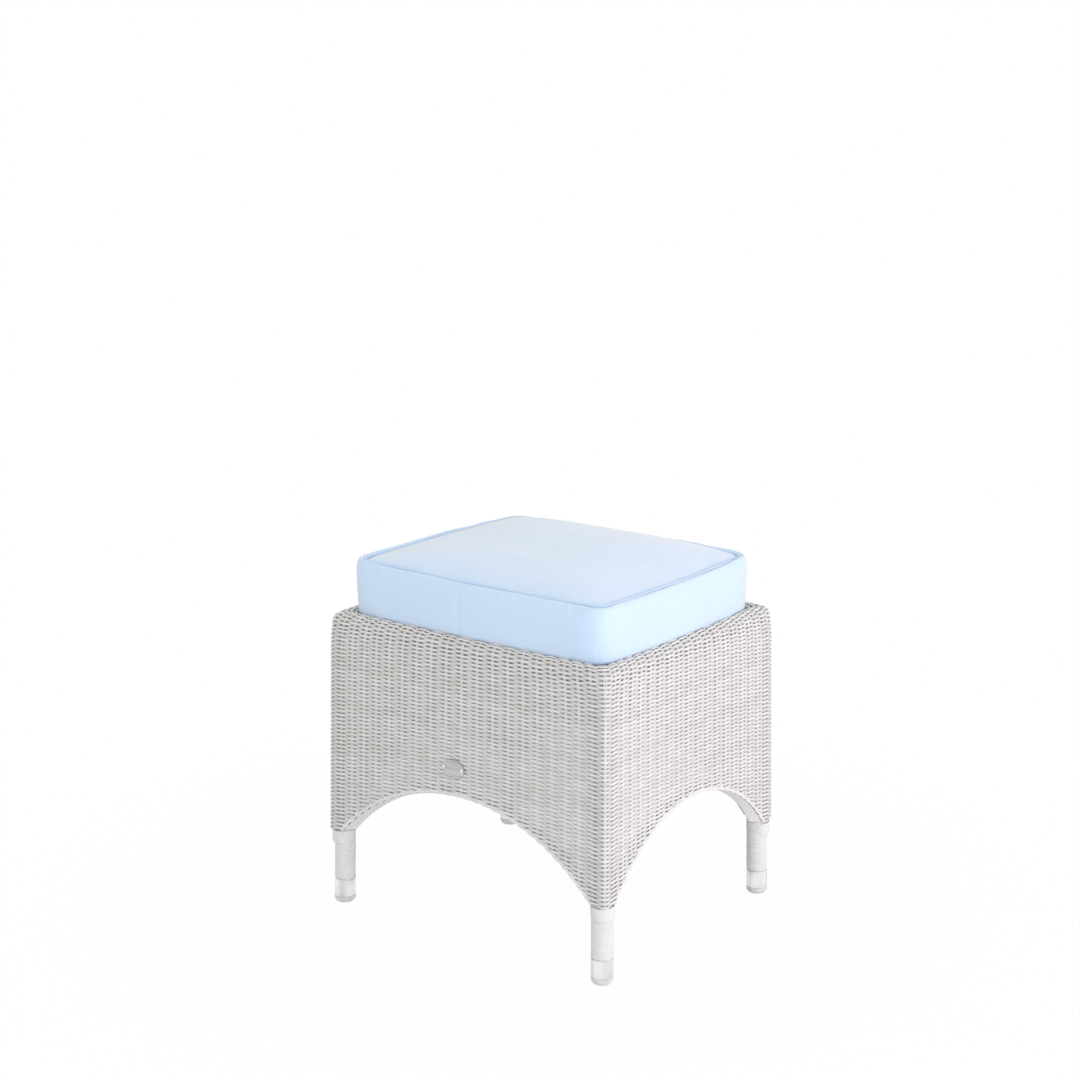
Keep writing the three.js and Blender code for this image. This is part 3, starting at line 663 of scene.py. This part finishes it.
EDGE_ROPE_TURN = 0.03
EDGE_ROPE_RISE, EDGE_ROPE_SWING = 0.0026, 0.0013
EDGE_ROPE_REACH, EDGE_ROPE_DEPTH = 0.0149, 0.0007
STRIP_REACHES = (0.0005, 0.0135)
STRIP_THICKNESS = 0.0016
STRIP_RIDGE, STRIP_SQUARENESS = 0.1, 0.6  # of the turns, as a share, and of the band's section
EDGE_ROPE_STEPS, STRIP_STEPS = 240, 200
TIGHT_TONE = 0.8  # of the strand on the arch edges and legs


def arch_angles(side, steps, end_gap):
    """Angles along a side's arch, from one leg to the other, and the arch's radius."""
    radius, _ = arch_circle(side)
    return np.linspace(-1, 1, steps) * math.asin((SIDE_HALF[side] - end_gap) / radius), radius


def along_arch(side, angles, rise, reach):
    """Points so far above an arch's edge and out from the leg axes, and the directions out."""
    radius, centre = arch_circle(side)
    along = (radius + rise) * np.sin(angles)
    return around(stake_at(side, along), reach, centre + (radius + rise) * np.cos(angles))


def arch_edge(batch, side):
    """A rope of two strands along the edge, on the outside."""
    angles, radius = arch_angles(side, EDGE_ROPE_STEPS, ARCH_SPRING_INSET)
    for phase in (0, math.pi):
        twist = 2 * math.pi * angles * radius / EDGE_ROPE_TURN + phase
        rise = EDGE_ROPE_RISE + EDGE_ROPE_SWING * np.sin(twist)
        reach = EDGE_ROPE_REACH + EDGE_ROPE_DEPTH * np.cos(twist)
        points, outward = along_arch(side, angles, rise, reach)
        batch.tube(points, outward, ROW_WIDTH, ROW_THICKNESS, tone=TIGHT_TONE, sides=SMOOTH_SIDES)


def arch_strip(batch, side):
    """The flat wrapped band on the underside of an arch: turns of strand laid side by side."""
    angles, radius = arch_angles(side, STRIP_STEPS, LEG_RADIUS - WRAP_WIDTH)
    low, high = STRIP_REACHES
    flat, upright = circle(ROUND_SIDES)
    square = np.sign(flat) * np.abs(flat) ** STRIP_SQUARENESS
    reach = (low + high) / 2 + (high - low) / 2 * square
    rings = []
    for angle in angles:
        ridge = 1 + STRIP_RIDGE * math.cos(2 * math.pi * angle * radius / ROW_PITCH)
        rings.append(along_arch(side, angle, STRIP_THICKNESS / 2 * upright * ridge, reach)[0])
    batch.add(np.concatenate(rings), ring_faces(len(rings), ROUND_SIDES), TIGHT_TONE)


def arch_edges():
    ropes, strips = Batch(), Batch()
    for side in SIDES:
        arch_edge(ropes, side)
        arch_strip(strips, side)
    place(ropes.build("arch_edge_ropes", STRAND_LOOK), "frame", "strand")
    place(strips.build("arch_edge_strips", WRAP_LOOK), "frame", "strand")


# The legs

WRAP_PITCH = 0.0025
WRAP_WIDTH = 0.0028  # each turn laps a little over the one below
WRAP_THICKNESS = 0.0014
WRAP_GAP = 0.0005  # above the ferrule
WRAP_RUN_UP = 0.012  # up behind the skirt
COLLAR_TURNS = 8
COLLAR_BOTTOM = 0.083
COLLAR_SHIFT = 0.0016  # outwards on each axis, over the ends of the stakes
COLLAR_GROWTH = 0.001
WRAP_STEPS = 36
METAL_EDGE = 0.0004  # cut off the ferrule's edges
GLIDE_SIDE_SHARE, GLIDE_RISE_SHARE = 0.4, 0.7  # of its radius and height that its rounding takes
GLIDE_STEPS = 10


def helix(batch, centre, radius, low, high, turns):
    """Turns of flat strand round a leg, whose radius may change, with both ends on the inner side."""
    steps = turns * WRAP_STEPS
    angles = math.atan2(-centre[1], -centre[0]) + 2 * math.pi * np.arange(steps + 1) / WRAP_STEPS
    direction = np.column_stack([np.cos(angles), np.sin(angles), np.zeros(steps + 1)])
    points = direction * np.broadcast_to(radius, steps + 1)[:, None]
    points[:, :2] += centre
    points[:, 2] = np.linspace(low, high, steps + 1)
    batch.tube(lean_in(points), direction, WRAP_WIDTH, WRAP_THICKNESS, tone=TIGHT_TONE, sides=SMOOTH_SIDES)


def wrap(name, centre):
    """The strand wound round a leg, with the thicker collar under the skirt."""
    wraps = Batch()
    radius = LEG_RADIUS + WRAP_THICKNESS / 2
    half = WRAP_WIDTH / 2
    low, high = FERRULE_TOP + WRAP_GAP + half, SKIRT_BOTTOM - half
    hidden = high + WRAP_RUN_UP
    helix(wraps, centre, radius, low, hidden, round((hidden - low) / WRAP_PITCH))
    collar = [middle + math.copysign(COLLAR_SHIFT, middle) for middle in centre]
    steps = np.arange(COLLAR_TURNS * WRAP_STEPS + 1)
    outer = radius + COLLAR_GROWTH * smoothstep(0, 2 * WRAP_STEPS, steps)
    helix(wraps, collar, outer, COLLAR_BOTTOM + half, high, COLLAR_TURNS)
    place(wraps.build("wrap_" + name, WRAP_LOOK), "frame", "strand", "leg_wrap_" + name)


def foot(name, centre):
    """The metal ferrule and the rounded glide under it."""
    inner, outer = LEG_RADIUS + METAL_EDGE, FOOT_RADIUS - METAL_EDGE
    sleeve = [(inner, FERRULE_BOTTOM), (outer, FERRULE_BOTTOM), (FOOT_RADIUS, FERRULE_BOTTOM + METAL_EDGE),
              (FOOT_RADIUS, FERRULE_TOP - METAL_EDGE), (outer, FERRULE_TOP), (inner, FERRULE_TOP)]
    ferrule = turned("ferrule_" + name, FERRULE_LOOK, sleeve, centre)
    place(ferrule, "frame", "ferrule", "leg_ferrule_" + name)
    top = FERRULE_BOTTOM - METAL_EDGE
    side_curve, rise_curve = FOOT_RADIUS * GLIDE_SIDE_SHARE, top * GLIDE_RISE_SHARE
    rounded = [(FOOT_RADIUS - side_curve * (1 - math.sin(angle)), rise_curve * (1 - math.cos(angle)))
               for angle in np.linspace(0, math.pi / 2, GLIDE_STEPS)]
    pad = [(side_curve, 0), *rounded, (FOOT_RADIUS, top - 2 * METAL_EDGE), (outer, top), (side_curve, top)]
    place(turned("glide_" + name, GLIDE_LOOK, pad, centre), "frame", "glide", "foot_glide_" + name)


# The rest of the frame

SHARP_ANGLE = math.radians(40)  # edges sharper than this stay sharp


def dress_frame():
    """Gives the tubes, rails and slats that stay as they are their paint."""
    for name, piece in frame["nodes"].items():
        if name.startswith(("leg_tube", "top_rail", "arch_rail", "seat_rail", "seat_slat")):
            repaint(piece, PAINT_LOOK)
            piece.data.shade_smooth()
            piece.modifiers.new("edges", "EDGE_SPLIT").split_angle = SHARP_ANGLE


# The cushion

seam_low, seam_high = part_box("cushion_piping_top")
PIPING_RADIUS = (seam_high.z - seam_low.z) / 2 / math.sin(math.pi / 3)
SEAM_HALF_X = seam_high.x - PIPING_RADIUS
SEAM_HALF_Y = seam_high.y - PIPING_RADIUS
SEAM_TOP = (seam_low.z + seam_high.z) / 2
CUSHION_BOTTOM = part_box("cushion_cover")[0].z
CUSHION_CORNER = 0.014
SEAM_BOTTOM = CUSHION_BOTTOM + PIPING_RADIUS
SEAM_DRAW = 0.002
CORNER_PULL = 0.009  # how far the rear left corner of the top is drawn in
REAR_LIFT = 0.003  # how much higher the rear seam is in its middle
CORNER_STEPS = 8
SIDE_STEPS = 40


def rear_left(points):
    """1 at the rear left corner, falling to 0 along both sides that meet there."""
    rear = np.clip(0.5 + points[:, 1] / (2 * SEAM_HALF_Y), 0, 1)
    left = np.clip(0.5 - points[:, 0] / (2 * SEAM_HALF_X), 0, 1)
    return rear * left


def cushion_loop(margin, bow, height, scale=1.0, side_steps=SIDE_STEPS):
    """A level loop round the cushion, anticlockwise, grown by a margin and bowed between the corners."""
    points = []
    centres = [(x * (SEAM_HALF_X - CUSHION_CORNER), y * (SEAM_HALF_Y - CUSHION_CORNER)) for x, y in QUARTERS]
    radius = CUSHION_CORNER + margin
    for corner, (x, y) in enumerate(centres):
        for i in range(CORNER_STEPS + 1):
            angle = (corner + i / CORNER_STEPS) * math.pi / 2
            points.append((x + radius * math.cos(angle), y + radius * math.sin(angle), height))
        angle = (corner + 1) * math.pi / 2
        next_x, next_y = centres[(corner + 1) % 4]
        for i in range(1, side_steps):
            share = i / side_steps
            reach = radius + bow * math.sin(math.pi * share)
            points.append((x + (next_x - x) * share + reach * math.cos(angle),
                           y + (next_y - y) * share + reach * math.sin(angle), height))
    loop = np.array(points)
    loop[:, :2] *= scale
    upward = smoothstep(RIM_TOP, SEAM_TOP, height)
    loop[:, 0] += CORNER_PULL * upward * rear_left(loop)
    rear = np.clip(loop[:, 1] / SEAM_HALF_Y, 0, 1)
    loop[:, 2] += REAR_LIFT * upward * rear * (1 - np.clip(np.square(loop[:, 0] / SEAM_HALF_X), 0, 1))
    return loop


BOXING_BULGE = 0.011
BOXING_BOW = 0.005
SEAM_BOW = 0.006  # how far the top seam runs out between the corners
BOXING_BULGES = ((0, 0.99), (0.06, 1.02), (0.2, 1.05), (0.5, 1.08), (0.85, 1.08), (0.93, 1.04), (0.99, 0.97),
                 (1.03, 0.86), (1.05, 0.7), (1.045, 0.55), (1.025, 0.4))
# How far below the rim's top, with the shares of the bulge and of the bow there, where it lies on the rim
LOW_BULGES = ((0.0015, 0.97, 1), (0.0025, 0.88, 0.8), (0.004, 0.7, 0.5), (0.007, 0.5, 0.25), (0.012, 0.36, 0))
CROWN_RISE = 0.015
CROWN_POWERS = (1.1, 0.6)  # how softly the crown falls along X and along Y
TOP_SCALES = (0.985, 0.965, 0.94, 0.9, 0.85, 0.78, 0.7, 0.6, 0.45, 0.3, 0.1)  # of the loops of the top
UNDERSIDE_SCALE = 0.96  # of the flat part of the underside
SEAM_SINK = PIPING_RADIUS * 0.9  # how far the cloth draws back behind the piping


def crown_rise(points):
    """How high the top panel stands over its seam: full in the middle and lowest in the corners."""
    halves = (SEAM_HALF_X + SEAM_BOW, SEAM_HALF_Y + SEAM_BOW)
    shares = np.clip(np.abs(points[:, :2]) / halves, 0, 1)
    return CROWN_RISE * np.prod((1 - shares ** 4) ** CROWN_POWERS, axis=1)


def cushion_base():
    """The cushion before it is filled: boxed, with sharp seams, slightly smaller than when full."""
    boxing = SEAM_TOP - RIM_TOP
    loops = [
        cushion_loop(-SEAM_SINK, -SEAM_DRAW, CUSHION_BOTTOM, UNDERSIDE_SCALE),
        cushion_loop(-SEAM_SINK, -SEAM_DRAW, SEAM_BOTTOM),
        cushion_loop(0, 0, SEAM_BOTTOM + PIPING_RADIUS * 2),
    ]
    for drop, bulge, bow in reversed(LOW_BULGES):
        loops.append(cushion_loop(BOXING_BULGE * bulge, BOXING_BOW * bow, RIM_TOP - drop))
    for share, bulge in BOXING_BULGES:
        loops.append(cushion_loop(BOXING_BULGE * bulge, BOXING_BOW, RIM_TOP + boxing * share))
    loops.append(cushion_loop(-SEAM_SINK, SEAM_BOW, SEAM_TOP))
    for scale in TOP_SCALES:
        loop = cushion_loop(-SEAM_SINK, SEAM_BOW, SEAM_TOP, scale)
        loop[:, 2] += crown_rise(loop)
        loops.append(loop)
    sides = len(loops[0])
    faces = [tuple(face) for face in ring_faces(len(loops), sides, capped=False)]
    faces.append(tuple(range(sides - 1, -1, -1)))
    faces.append(tuple((len(loops) - 1) * sides + i for i in range(sides)))
    mesh = bpy.data.meshes.new("cushion_base")
    mesh.from_pydata(np.concatenate(loops).tolist(), [], faces)
    return mesh


def modified(piece):
    """A copy of a piece's mesh with its modifiers applied."""
    graph = bpy.context.evaluated_depsgraph_get()
    return bpy.data.meshes.new_from_object(piece.evaluated_get(graph))


def points_of(mesh):
    points = np.empty(len(mesh.vertices) * 3)
    mesh.vertices.foreach_get("co", points)
    return points.reshape(-1, 3)


VOXEL = 0.0046  # side of the quads that the filling moves


def remeshed(mesh):
    """The same form in even quads of about one size."""
    piece = linked("remesh", mesh)
    modifier = piece.modifiers.new("remesh", "REMESH")
    modifier.mode = "VOXEL"
    modifier.voxel_size = VOXEL
    bpy.context.view_layer.update()
    made = modified(piece)
    bpy.data.objects.remove(piece)
    return made


def set_points(mesh, points):
    mesh.vertices.foreach_set("co", points.astype(np.float32).ravel())
    mesh.update()


def distance_to_loop(points, loop):
    nearest = np.full(len(points), np.inf)
    for spot in loop:
        nearest = np.minimum(nearest, np.linalg.norm(points - spot, axis=1))
    return nearest


CLOTH_STEPS = 20
CLOTH = {"quality": 6, "mass": 0.25, "tension_stiffness": 18, "compression_stiffness": 18,
         "shear_stiffness": 6, "bending_stiffness": 0.6, "use_pressure": True, "uniform_pressure_force": 4}
SEAM_HOLD = 0.0032  # how close to the seam or the underside the cloth is held
MOST_TRAVEL, MOST_IN_RECESS = 0.0025, 0.001  # how far the filling may move the cloth
VALLEY_WIDTH, VALLEY_DEPTH = 0.006, 0.002  # of the dip that the top piping lies in
RIDGE_OFFSET, RIDGE_WIDTH, RIDGE_RISE = 0.0075, 0.0085, 0.0032  # of the shoulder outside the piping
RIDGE_FADE = 0.6  # share of half a side at which the shoulder is full, or starts
PUCKER_LENGTH, PUCKER_DEPTH = 0.021, 0.0004
PUCKER_FADE = 0.014
PUCKER_DRIFT, PUCKER_DRIFT_LENGTH = 1.7, 3.7 * PUCKER_LENGTH  # how unevenly the puckers lie
CREASES = (-0.186, -0.014)  # upright creases in the front boxing
CREASE_WIDTH, CREASE_DEPTH = 0.003, 0.0012
ZIP_SLOPE = 0.3  # how fast the rear boxing comes out again above and below the zip
ZIP_END_SLOPE = 0.6


def filled(piece, seam_distance):
    """Blows the cushion up as cloth with its seams held, and returns its new points."""
    rest = points_of(piece.data)
    held = piece.vertex_groups.new(name="held")
    still = (seam_distance < SEAM_HOLD) | (rest[:, 2] < CUSHION_BOTTOM + SEAM_HOLD)
    held.add(np.flatnonzero(still).tolist(), 1.0, "REPLACE")
    cloth = piece.modifiers.new("cloth", "CLOTH")
    for name, value in CLOTH.items():
        setattr(cloth.settings, name, value)
    cloth.settings.effector_weights.gravity = 0
    cloth.settings.vertex_group_mass = "held"
    for step in range(1, CLOTH_STEPS + 1):
        bpy.context.scene.frame_set(step)
    moved = points_of(modified(piece))
    bpy.context.scene.frame_set(1)
    piece.modifiers.remove(cloth)
    piece.vertex_groups.remove(held)
    return moved


def top_line(offset):
    """A finely divided loop along the top seam, or so far outside it."""
    return cushion_loop(offset, SEAM_BOW, SEAM_TOP, side_steps=5 * SIDE_STEPS)


def dome(distance, width):
    """1 in the middle, falling smoothly to 0 at a width."""
    return np.square(np.clip(1 - np.square(distance / width), 0, 1))


def sew(points):
    """Draws the top seam into a valley, raises the shoulder beyond it at the left and rear, puckers the
    boxing below it and creases the front."""
    near = np.flatnonzero(points[:, 2] > SEAM_TOP - VALLEY_WIDTH)
    points[near, 2] -= VALLEY_DEPTH * dome(distance_to_loop(points[near], top_line(0)), VALLEY_WIDTH)
    ridge = RIDGE_RISE * dome(distance_to_loop(points[near], top_line(RIDGE_OFFSET)), RIDGE_WIDTH)
    across, deep = points[near, 0] / SEAM_HALF_X, points[near, 1] / SEAM_HALF_Y
    rear = smoothstep(RIDGE_FADE, 1, deep) * smoothstep(0, RIDGE_FADE, across)
    far = np.maximum(rear, smoothstep(RIDGE_FADE, 1, -across))
    points[near, 2] += ridge * far * (1 - rear_left(points[near]) ** 4)
    fade = np.exp(-np.abs(SEAM_TOP - points[:, 2]) / PUCKER_FADE)
    for axis, half in ((0, SEAM_HALF_X), (1, SEAM_HALF_Y)):
        along = points[:, 1 - axis]
        on_side = smoothstep(half, half + BOXING_BULGE / 2, np.abs(points[:, axis]))
        drift = PUCKER_DRIFT * np.sin(2 * math.pi * along / PUCKER_DRIFT_LENGTH + axis)
        wave = np.sin(2 * math.pi * along / PUCKER_LENGTH + drift)
        points[:, axis] += np.sign(points[:, axis]) * on_side * PUCKER_DEPTH * wave * fade
    front = smoothstep(SEAM_HALF_Y, SEAM_HALF_Y + BOXING_BULGE / 2, -points[:, 1])
    for crease in CREASES:
        points[:, 1] += front * CREASE_DEPTH * np.exp(-np.square((points[:, 0] - crease) / CREASE_WIDTH))


def draw_to_zip(points):
    """Holds the rear boxing back along the zip, so that the tape lies on it."""
    low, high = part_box("zip_tape")
    beyond = np.abs(points[:, 2] - (low.z + high.z) / 2) - (high.z - low.z) / 2
    past_end = np.abs(points[:, 0]) - high.x
    limit = low.y + ZIP_SLOPE * np.maximum(beyond, 0) + ZIP_END_SLOPE * np.maximum(past_end, 0)
    points[:, 1] = np.minimum(points[:, 1], limit)


def cushion():
    """The cushion's cover, filled as cloth, then divided finer and sewn."""
    mesh = remeshed(cushion_base())
    piece = linked("cushion", mesh)
    rest = points_of(mesh)
    moved = filled(piece, distance_to_loop(rest, top_line(0)))
    travel = moved - rest
    distance = np.linalg.norm(travel, axis=1)
    most = np.where(rest[:, 2] < RIM_TOP, MOST_IN_RECESS, MOST_TRAVEL)
    travel *= (np.minimum(distance, most) / np.maximum(distance, sys.float_info.epsilon))[:, None]
    set_points(mesh, rest + travel)
    piece.modifiers.new("smooth", "SUBSURF")
    fine = modified(piece)
    piece.modifiers.clear()
    piece.data = fine
    points = points_of(fine)
    sew(points)
    draw_to_zip(points)
    set_points(fine, points)
    fine.shade_smooth()
    repaint(piece, CANVAS_LOOK)
    place(piece, "cushion", "cushion_fabric", "cushion_cover", "foam_core")


PIPING_OFFSET = 0.0002  # of its middle from the seam, outwards
PIPING_STRAY, PIPING_WAVE = 0.0003, 0.35  # how far it strays up and down, and how fast from step to step
PIPING_WIDTH = 2 * SEAM_SINK


def piping(name, height, bow):
    """One round of piping along a seam."""
    batch = Batch()
    loop = cushion_loop(PIPING_OFFSET, bow, height)
    loop[:, 2] += PIPING_STRAY * np.sin(np.arange(len(loop)) * PIPING_WAVE)
    batch.tube(loop, unit(loop * (1, 1, 0)), PIPING_WIDTH, PIPING_WIDTH, closed=True, sides=ROUND_SIDES)
    place(batch.build(name, PIPING_SHADED_LOOK), "cushion", "piping", "cushion_" + name)


# The badge

def badge():
    """The bare plate and its rivets, which keep their own forms."""
    repaint(frame["nodes"]["badge_plate"], BADGE_LOOK)
    for side in ("left", "right"):
        rivet = frame["nodes"]["badge_rivet_" + side]
        # the rivets take the ferrule's metal, with its painted reflections
        repaint(rivet, FERRULE_LOOK)
        rivet.data.shade_smooth()


# The zip

TOOTH_PITCH = 0.0022
TOOTH_WIDTH, TOOTH_THICKNESS = 0.0013, 0.0012
TOOTH_REACHES = (-0.0005, 0.0015)  # across the zip's middle, to the tape that holds it
TOOTH_STEPS = 3
SLIDER_WIDTHS = (0.4, 0.8, 0.97, 1, 0.94, 0.84, 0.72, 0.45)  # from its mouth to its tail
SLIDER_BREADTH, SLIDER_DEPTH = 0.007, 0.0026
SLIDER_SIDES = 16
PULL_WIRE = 0.0012
PULL_BREADTH = 0.005
PULL_STEPS = 32
PLATE_STEPS = 6
PLATE_SHARE = 0.6  # of the wire's thickness, that the plate in the pull has
TAPE_STEPS = 80
TAPE_SHARE = 0.95  # of its half of the zip's height, that a tape covers
BACKWARDS = (0.0, 1.0, 0.0)


def zip_teeth(low, high):
    """Moulded teeth, held in turn by the upper and the lower tape."""
    teeth = Batch()
    middle, face = (low.z + high.z) / 2, (low.y + high.y) / 2
    for number in range(round((high.x - low.x) / TOOTH_PITCH)):
        x = low.x + (number + 0.5) * TOOTH_PITCH
        side = 1 if number % 2 else -1
        tooth = [(x, face, middle + side * reach) for reach in np.linspace(*TOOTH_REACHES, TOOTH_STEPS)]
        teeth.tube(tooth, BACKWARDS, TOOTH_WIDTH, TOOTH_THICKNESS)
    return teeth


def zip_parts():
    """The two tapes and their teeth, closed all along."""
    low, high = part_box("zip_tape")
    tapes = Batch()
    along = np.linspace(low.x, high.x, TAPE_STEPS)
    breadth = (high.z - low.z) / 2
    for edge in (low.z + breadth / 2, high.z - breadth / 2):
        line = [(x, (low.y + high.y) / 2, edge) for x in along]
        tapes.tube(line, BACKWARDS, breadth * TAPE_SHARE, high.y - low.y, sides=SMOOTH_SIDES)
    place(tapes.build("zip_tapes", ZIP_LOOK), "cushion", "zip", "zip_tape")
    place(zip_teeth(low, high).build("zip_teeth", GLIDE_LOOK), "cushion", "zip")


def zip_slider():
    """A cast slider with a flat loop for a pull, which hangs down from its bridge."""
    low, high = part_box("zip_slider")
    body = Batch()
    x, height = (low.x + high.x) / 2, high.z - SLIDER_BREADTH / 2
    widths = np.array(SLIDER_WIDTHS)
    line = [(along, low.y + SLIDER_DEPTH / 2, height) for along in np.linspace(high.x, low.x, len(widths))]
    body.tube(line, BACKWARDS, SLIDER_BREADTH * widths, SLIDER_DEPTH * np.sqrt(widths), sides=SLIDER_SIDES)
    face = high.y - PULL_WIRE / 2
    across, upright = circle(PULL_STEPS)
    pull_top, pull_bottom = height + PULL_WIRE, low.z + PULL_WIRE / 2
    pull_half = (PULL_BREADTH - PULL_WIRE) / 2
    straight = (pull_top - pull_bottom) / 2 - pull_half
    heights = (pull_top + pull_bottom) / 2 + pull_half * upright + straight * np.sign(upright)
    loop = np.column_stack([x + pull_half * across, np.full(PULL_STEPS, face), heights])
    body.tube(loop, BACKWARDS, PULL_WIRE, PULL_WIRE, closed=True, sides=SMOOTH_SIDES)
    plate_top = pull_bottom + 2 * straight / 3
    plate = [(x, face, rise) for rise in np.linspace(pull_bottom, plate_top, PLATE_STEPS)]
    body.tube(plate, BACKWARDS, PULL_BREADTH - PULL_WIRE, PULL_WIRE * PLATE_SHARE, sides=SMOOTH_SIDES)
    place(body.build("zip_slider_body", BADGE_LOOK), "zip_slider", "zip", "zip_slider")


# The studio

LAMP_PLACE, LAMP_TARGET = Vector((2.4, -0.4, 0.6)), Vector((0, 0, 0.25))
LAMP_SIZE = (2.4, 1.1)
LAMP_POWER, LAMP_COLOR = 26, (0.94, 0.86, 1)
WORLD_STRENGTH, WORLD_COLOR = 0.98, (0.96, 0.97, 1, 1)
FLOOR_REACH = 12
FLOOR_COLOR = (0.86, 0.86, 0.86)
# Distances from the stool, and the share of plain white there
FLOOR_GLOW = {"From Min": 0.2, "From Max": 0.9, "To Min": 0.965, "To Max": 1.0}
CAMERA_PLACE = Vector((1.66525, -2.21725, 1.17524))
CAMERA_TARGET = Vector((-0.01278, -0.00972, 0.49147))
CAMERA_LENS, CAMERA_SENSOR = 73.8, 36  # in millimetres


def aimed(data, position, target):
    """A lamp or camera at a place, turned to look at a target."""
    holder = linked(data.name, data)
    holder.location = position
    holder.rotation_euler = (target - position).to_track_quat("-Z", "Y").to_euler()
    return holder


def light():
    """A large soft lamp on the right, which mirrors don't show."""
    lamp = bpy.data.lights.new("key_right", "AREA")
    lamp.shape = "RECTANGLE"
    lamp.size, lamp.size_y = LAMP_SIZE
    lamp.energy = LAMP_POWER
    lamp.color = LAMP_COLOR
    aimed(lamp, LAMP_PLACE, LAMP_TARGET).visible_glossy = False


def pale_rays(tree):
    """1 for rays that come from the camera, a mirror or glass."""
    path = new_node(tree, "LightPath", {})
    seen = combined(tree, "MAXIMUM", path.outputs["Is Camera Ray"], path.outputs["Is Glossy Ray"])
    return combined(tree, "MAXIMUM", seen, path.outputs["Is Transmission Ray"])


def surface(tree, output, share, first, second):
    """Gives an output node a mix of two shader nodes."""
    mixed = new_node(tree, "MixShader", {"Fac": share, 1: first.outputs[0], 2: second.outputs[0]})
    feed(tree, tree.nodes[output], {"Surface": mixed.outputs["Shader"]})


def world():
    """Even light from all round, and plain white where it is seen."""
    scene_world = bpy.data.worlds.new("studio")
    scene_world.use_nodes = True
    tree = scene_world.node_tree
    even = tree.nodes["Background"]
    feed(tree, even, {"Color": WORLD_COLOR, "Strength": WORLD_STRENGTH})
    white = new_node(tree, "Background", {"Color": (1, 1, 1, 1)})
    surface(tree, "World Output", pale_rays(tree), even, white)
    bpy.context.scene.world = scene_world


def floor():
    """A pale floor that keeps the stool's soft shadow and fades to plain white away from it."""
    mesh = bpy.data.meshes.new("floor")
    mesh.from_pydata([(x * FLOOR_REACH, y * FLOOR_REACH, 0) for x, y in QUARTERS], [], [(0, 1, 2, 3)])
    material, tree, shader = principled("floor", FLOOR_COLOR, 1)
    tree.nodes.remove(shader)
    matte = new_node(tree, "BsdfDiffuse", {"Color": (*FLOOR_COLOR, 1)})
    distance = new_node(tree, "VectorMath", {0: coordinates(tree)}, operation="LENGTH").outputs["Value"]
    far = new_node(tree, "MapRange", {**FLOOR_GLOW, "Value": distance}, interpolation_type="SMOOTHSTEP")
    glowing = combined(tree, "MULTIPLY", pale_rays(tree), far.outputs["Result"])
    surface(tree, "Material Output", glowing, matte, new_node(tree, "Emission", {}))
    mesh.materials.append(material)
    linked("floor", mesh)


def camera():
    data = bpy.data.cameras.new("camera")
    data.lens = CAMERA_LENS
    data.sensor_width = CAMERA_SENSOR
    bpy.context.scene.camera = aimed(data, CAMERA_PLACE, CAMERA_TARGET)


camera()
world()
floor()
light()
bpy.context.scene.view_settings.view_transform = "Standard"

weave()
stakes()
arch_edges()
for leg_name, leg_centre in FEET.items():
    wrap(leg_name, leg_centre)
    foot(leg_name, leg_centre)
dress_frame()
badge()
zip_parts()
zip_slider()
cushion()
piping("piping_top", SEAM_TOP + PIPING_RADIUS / 4, SEAM_BOW)
piping("piping_bottom", SEAM_BOTTOM, -SEAM_DRAW)
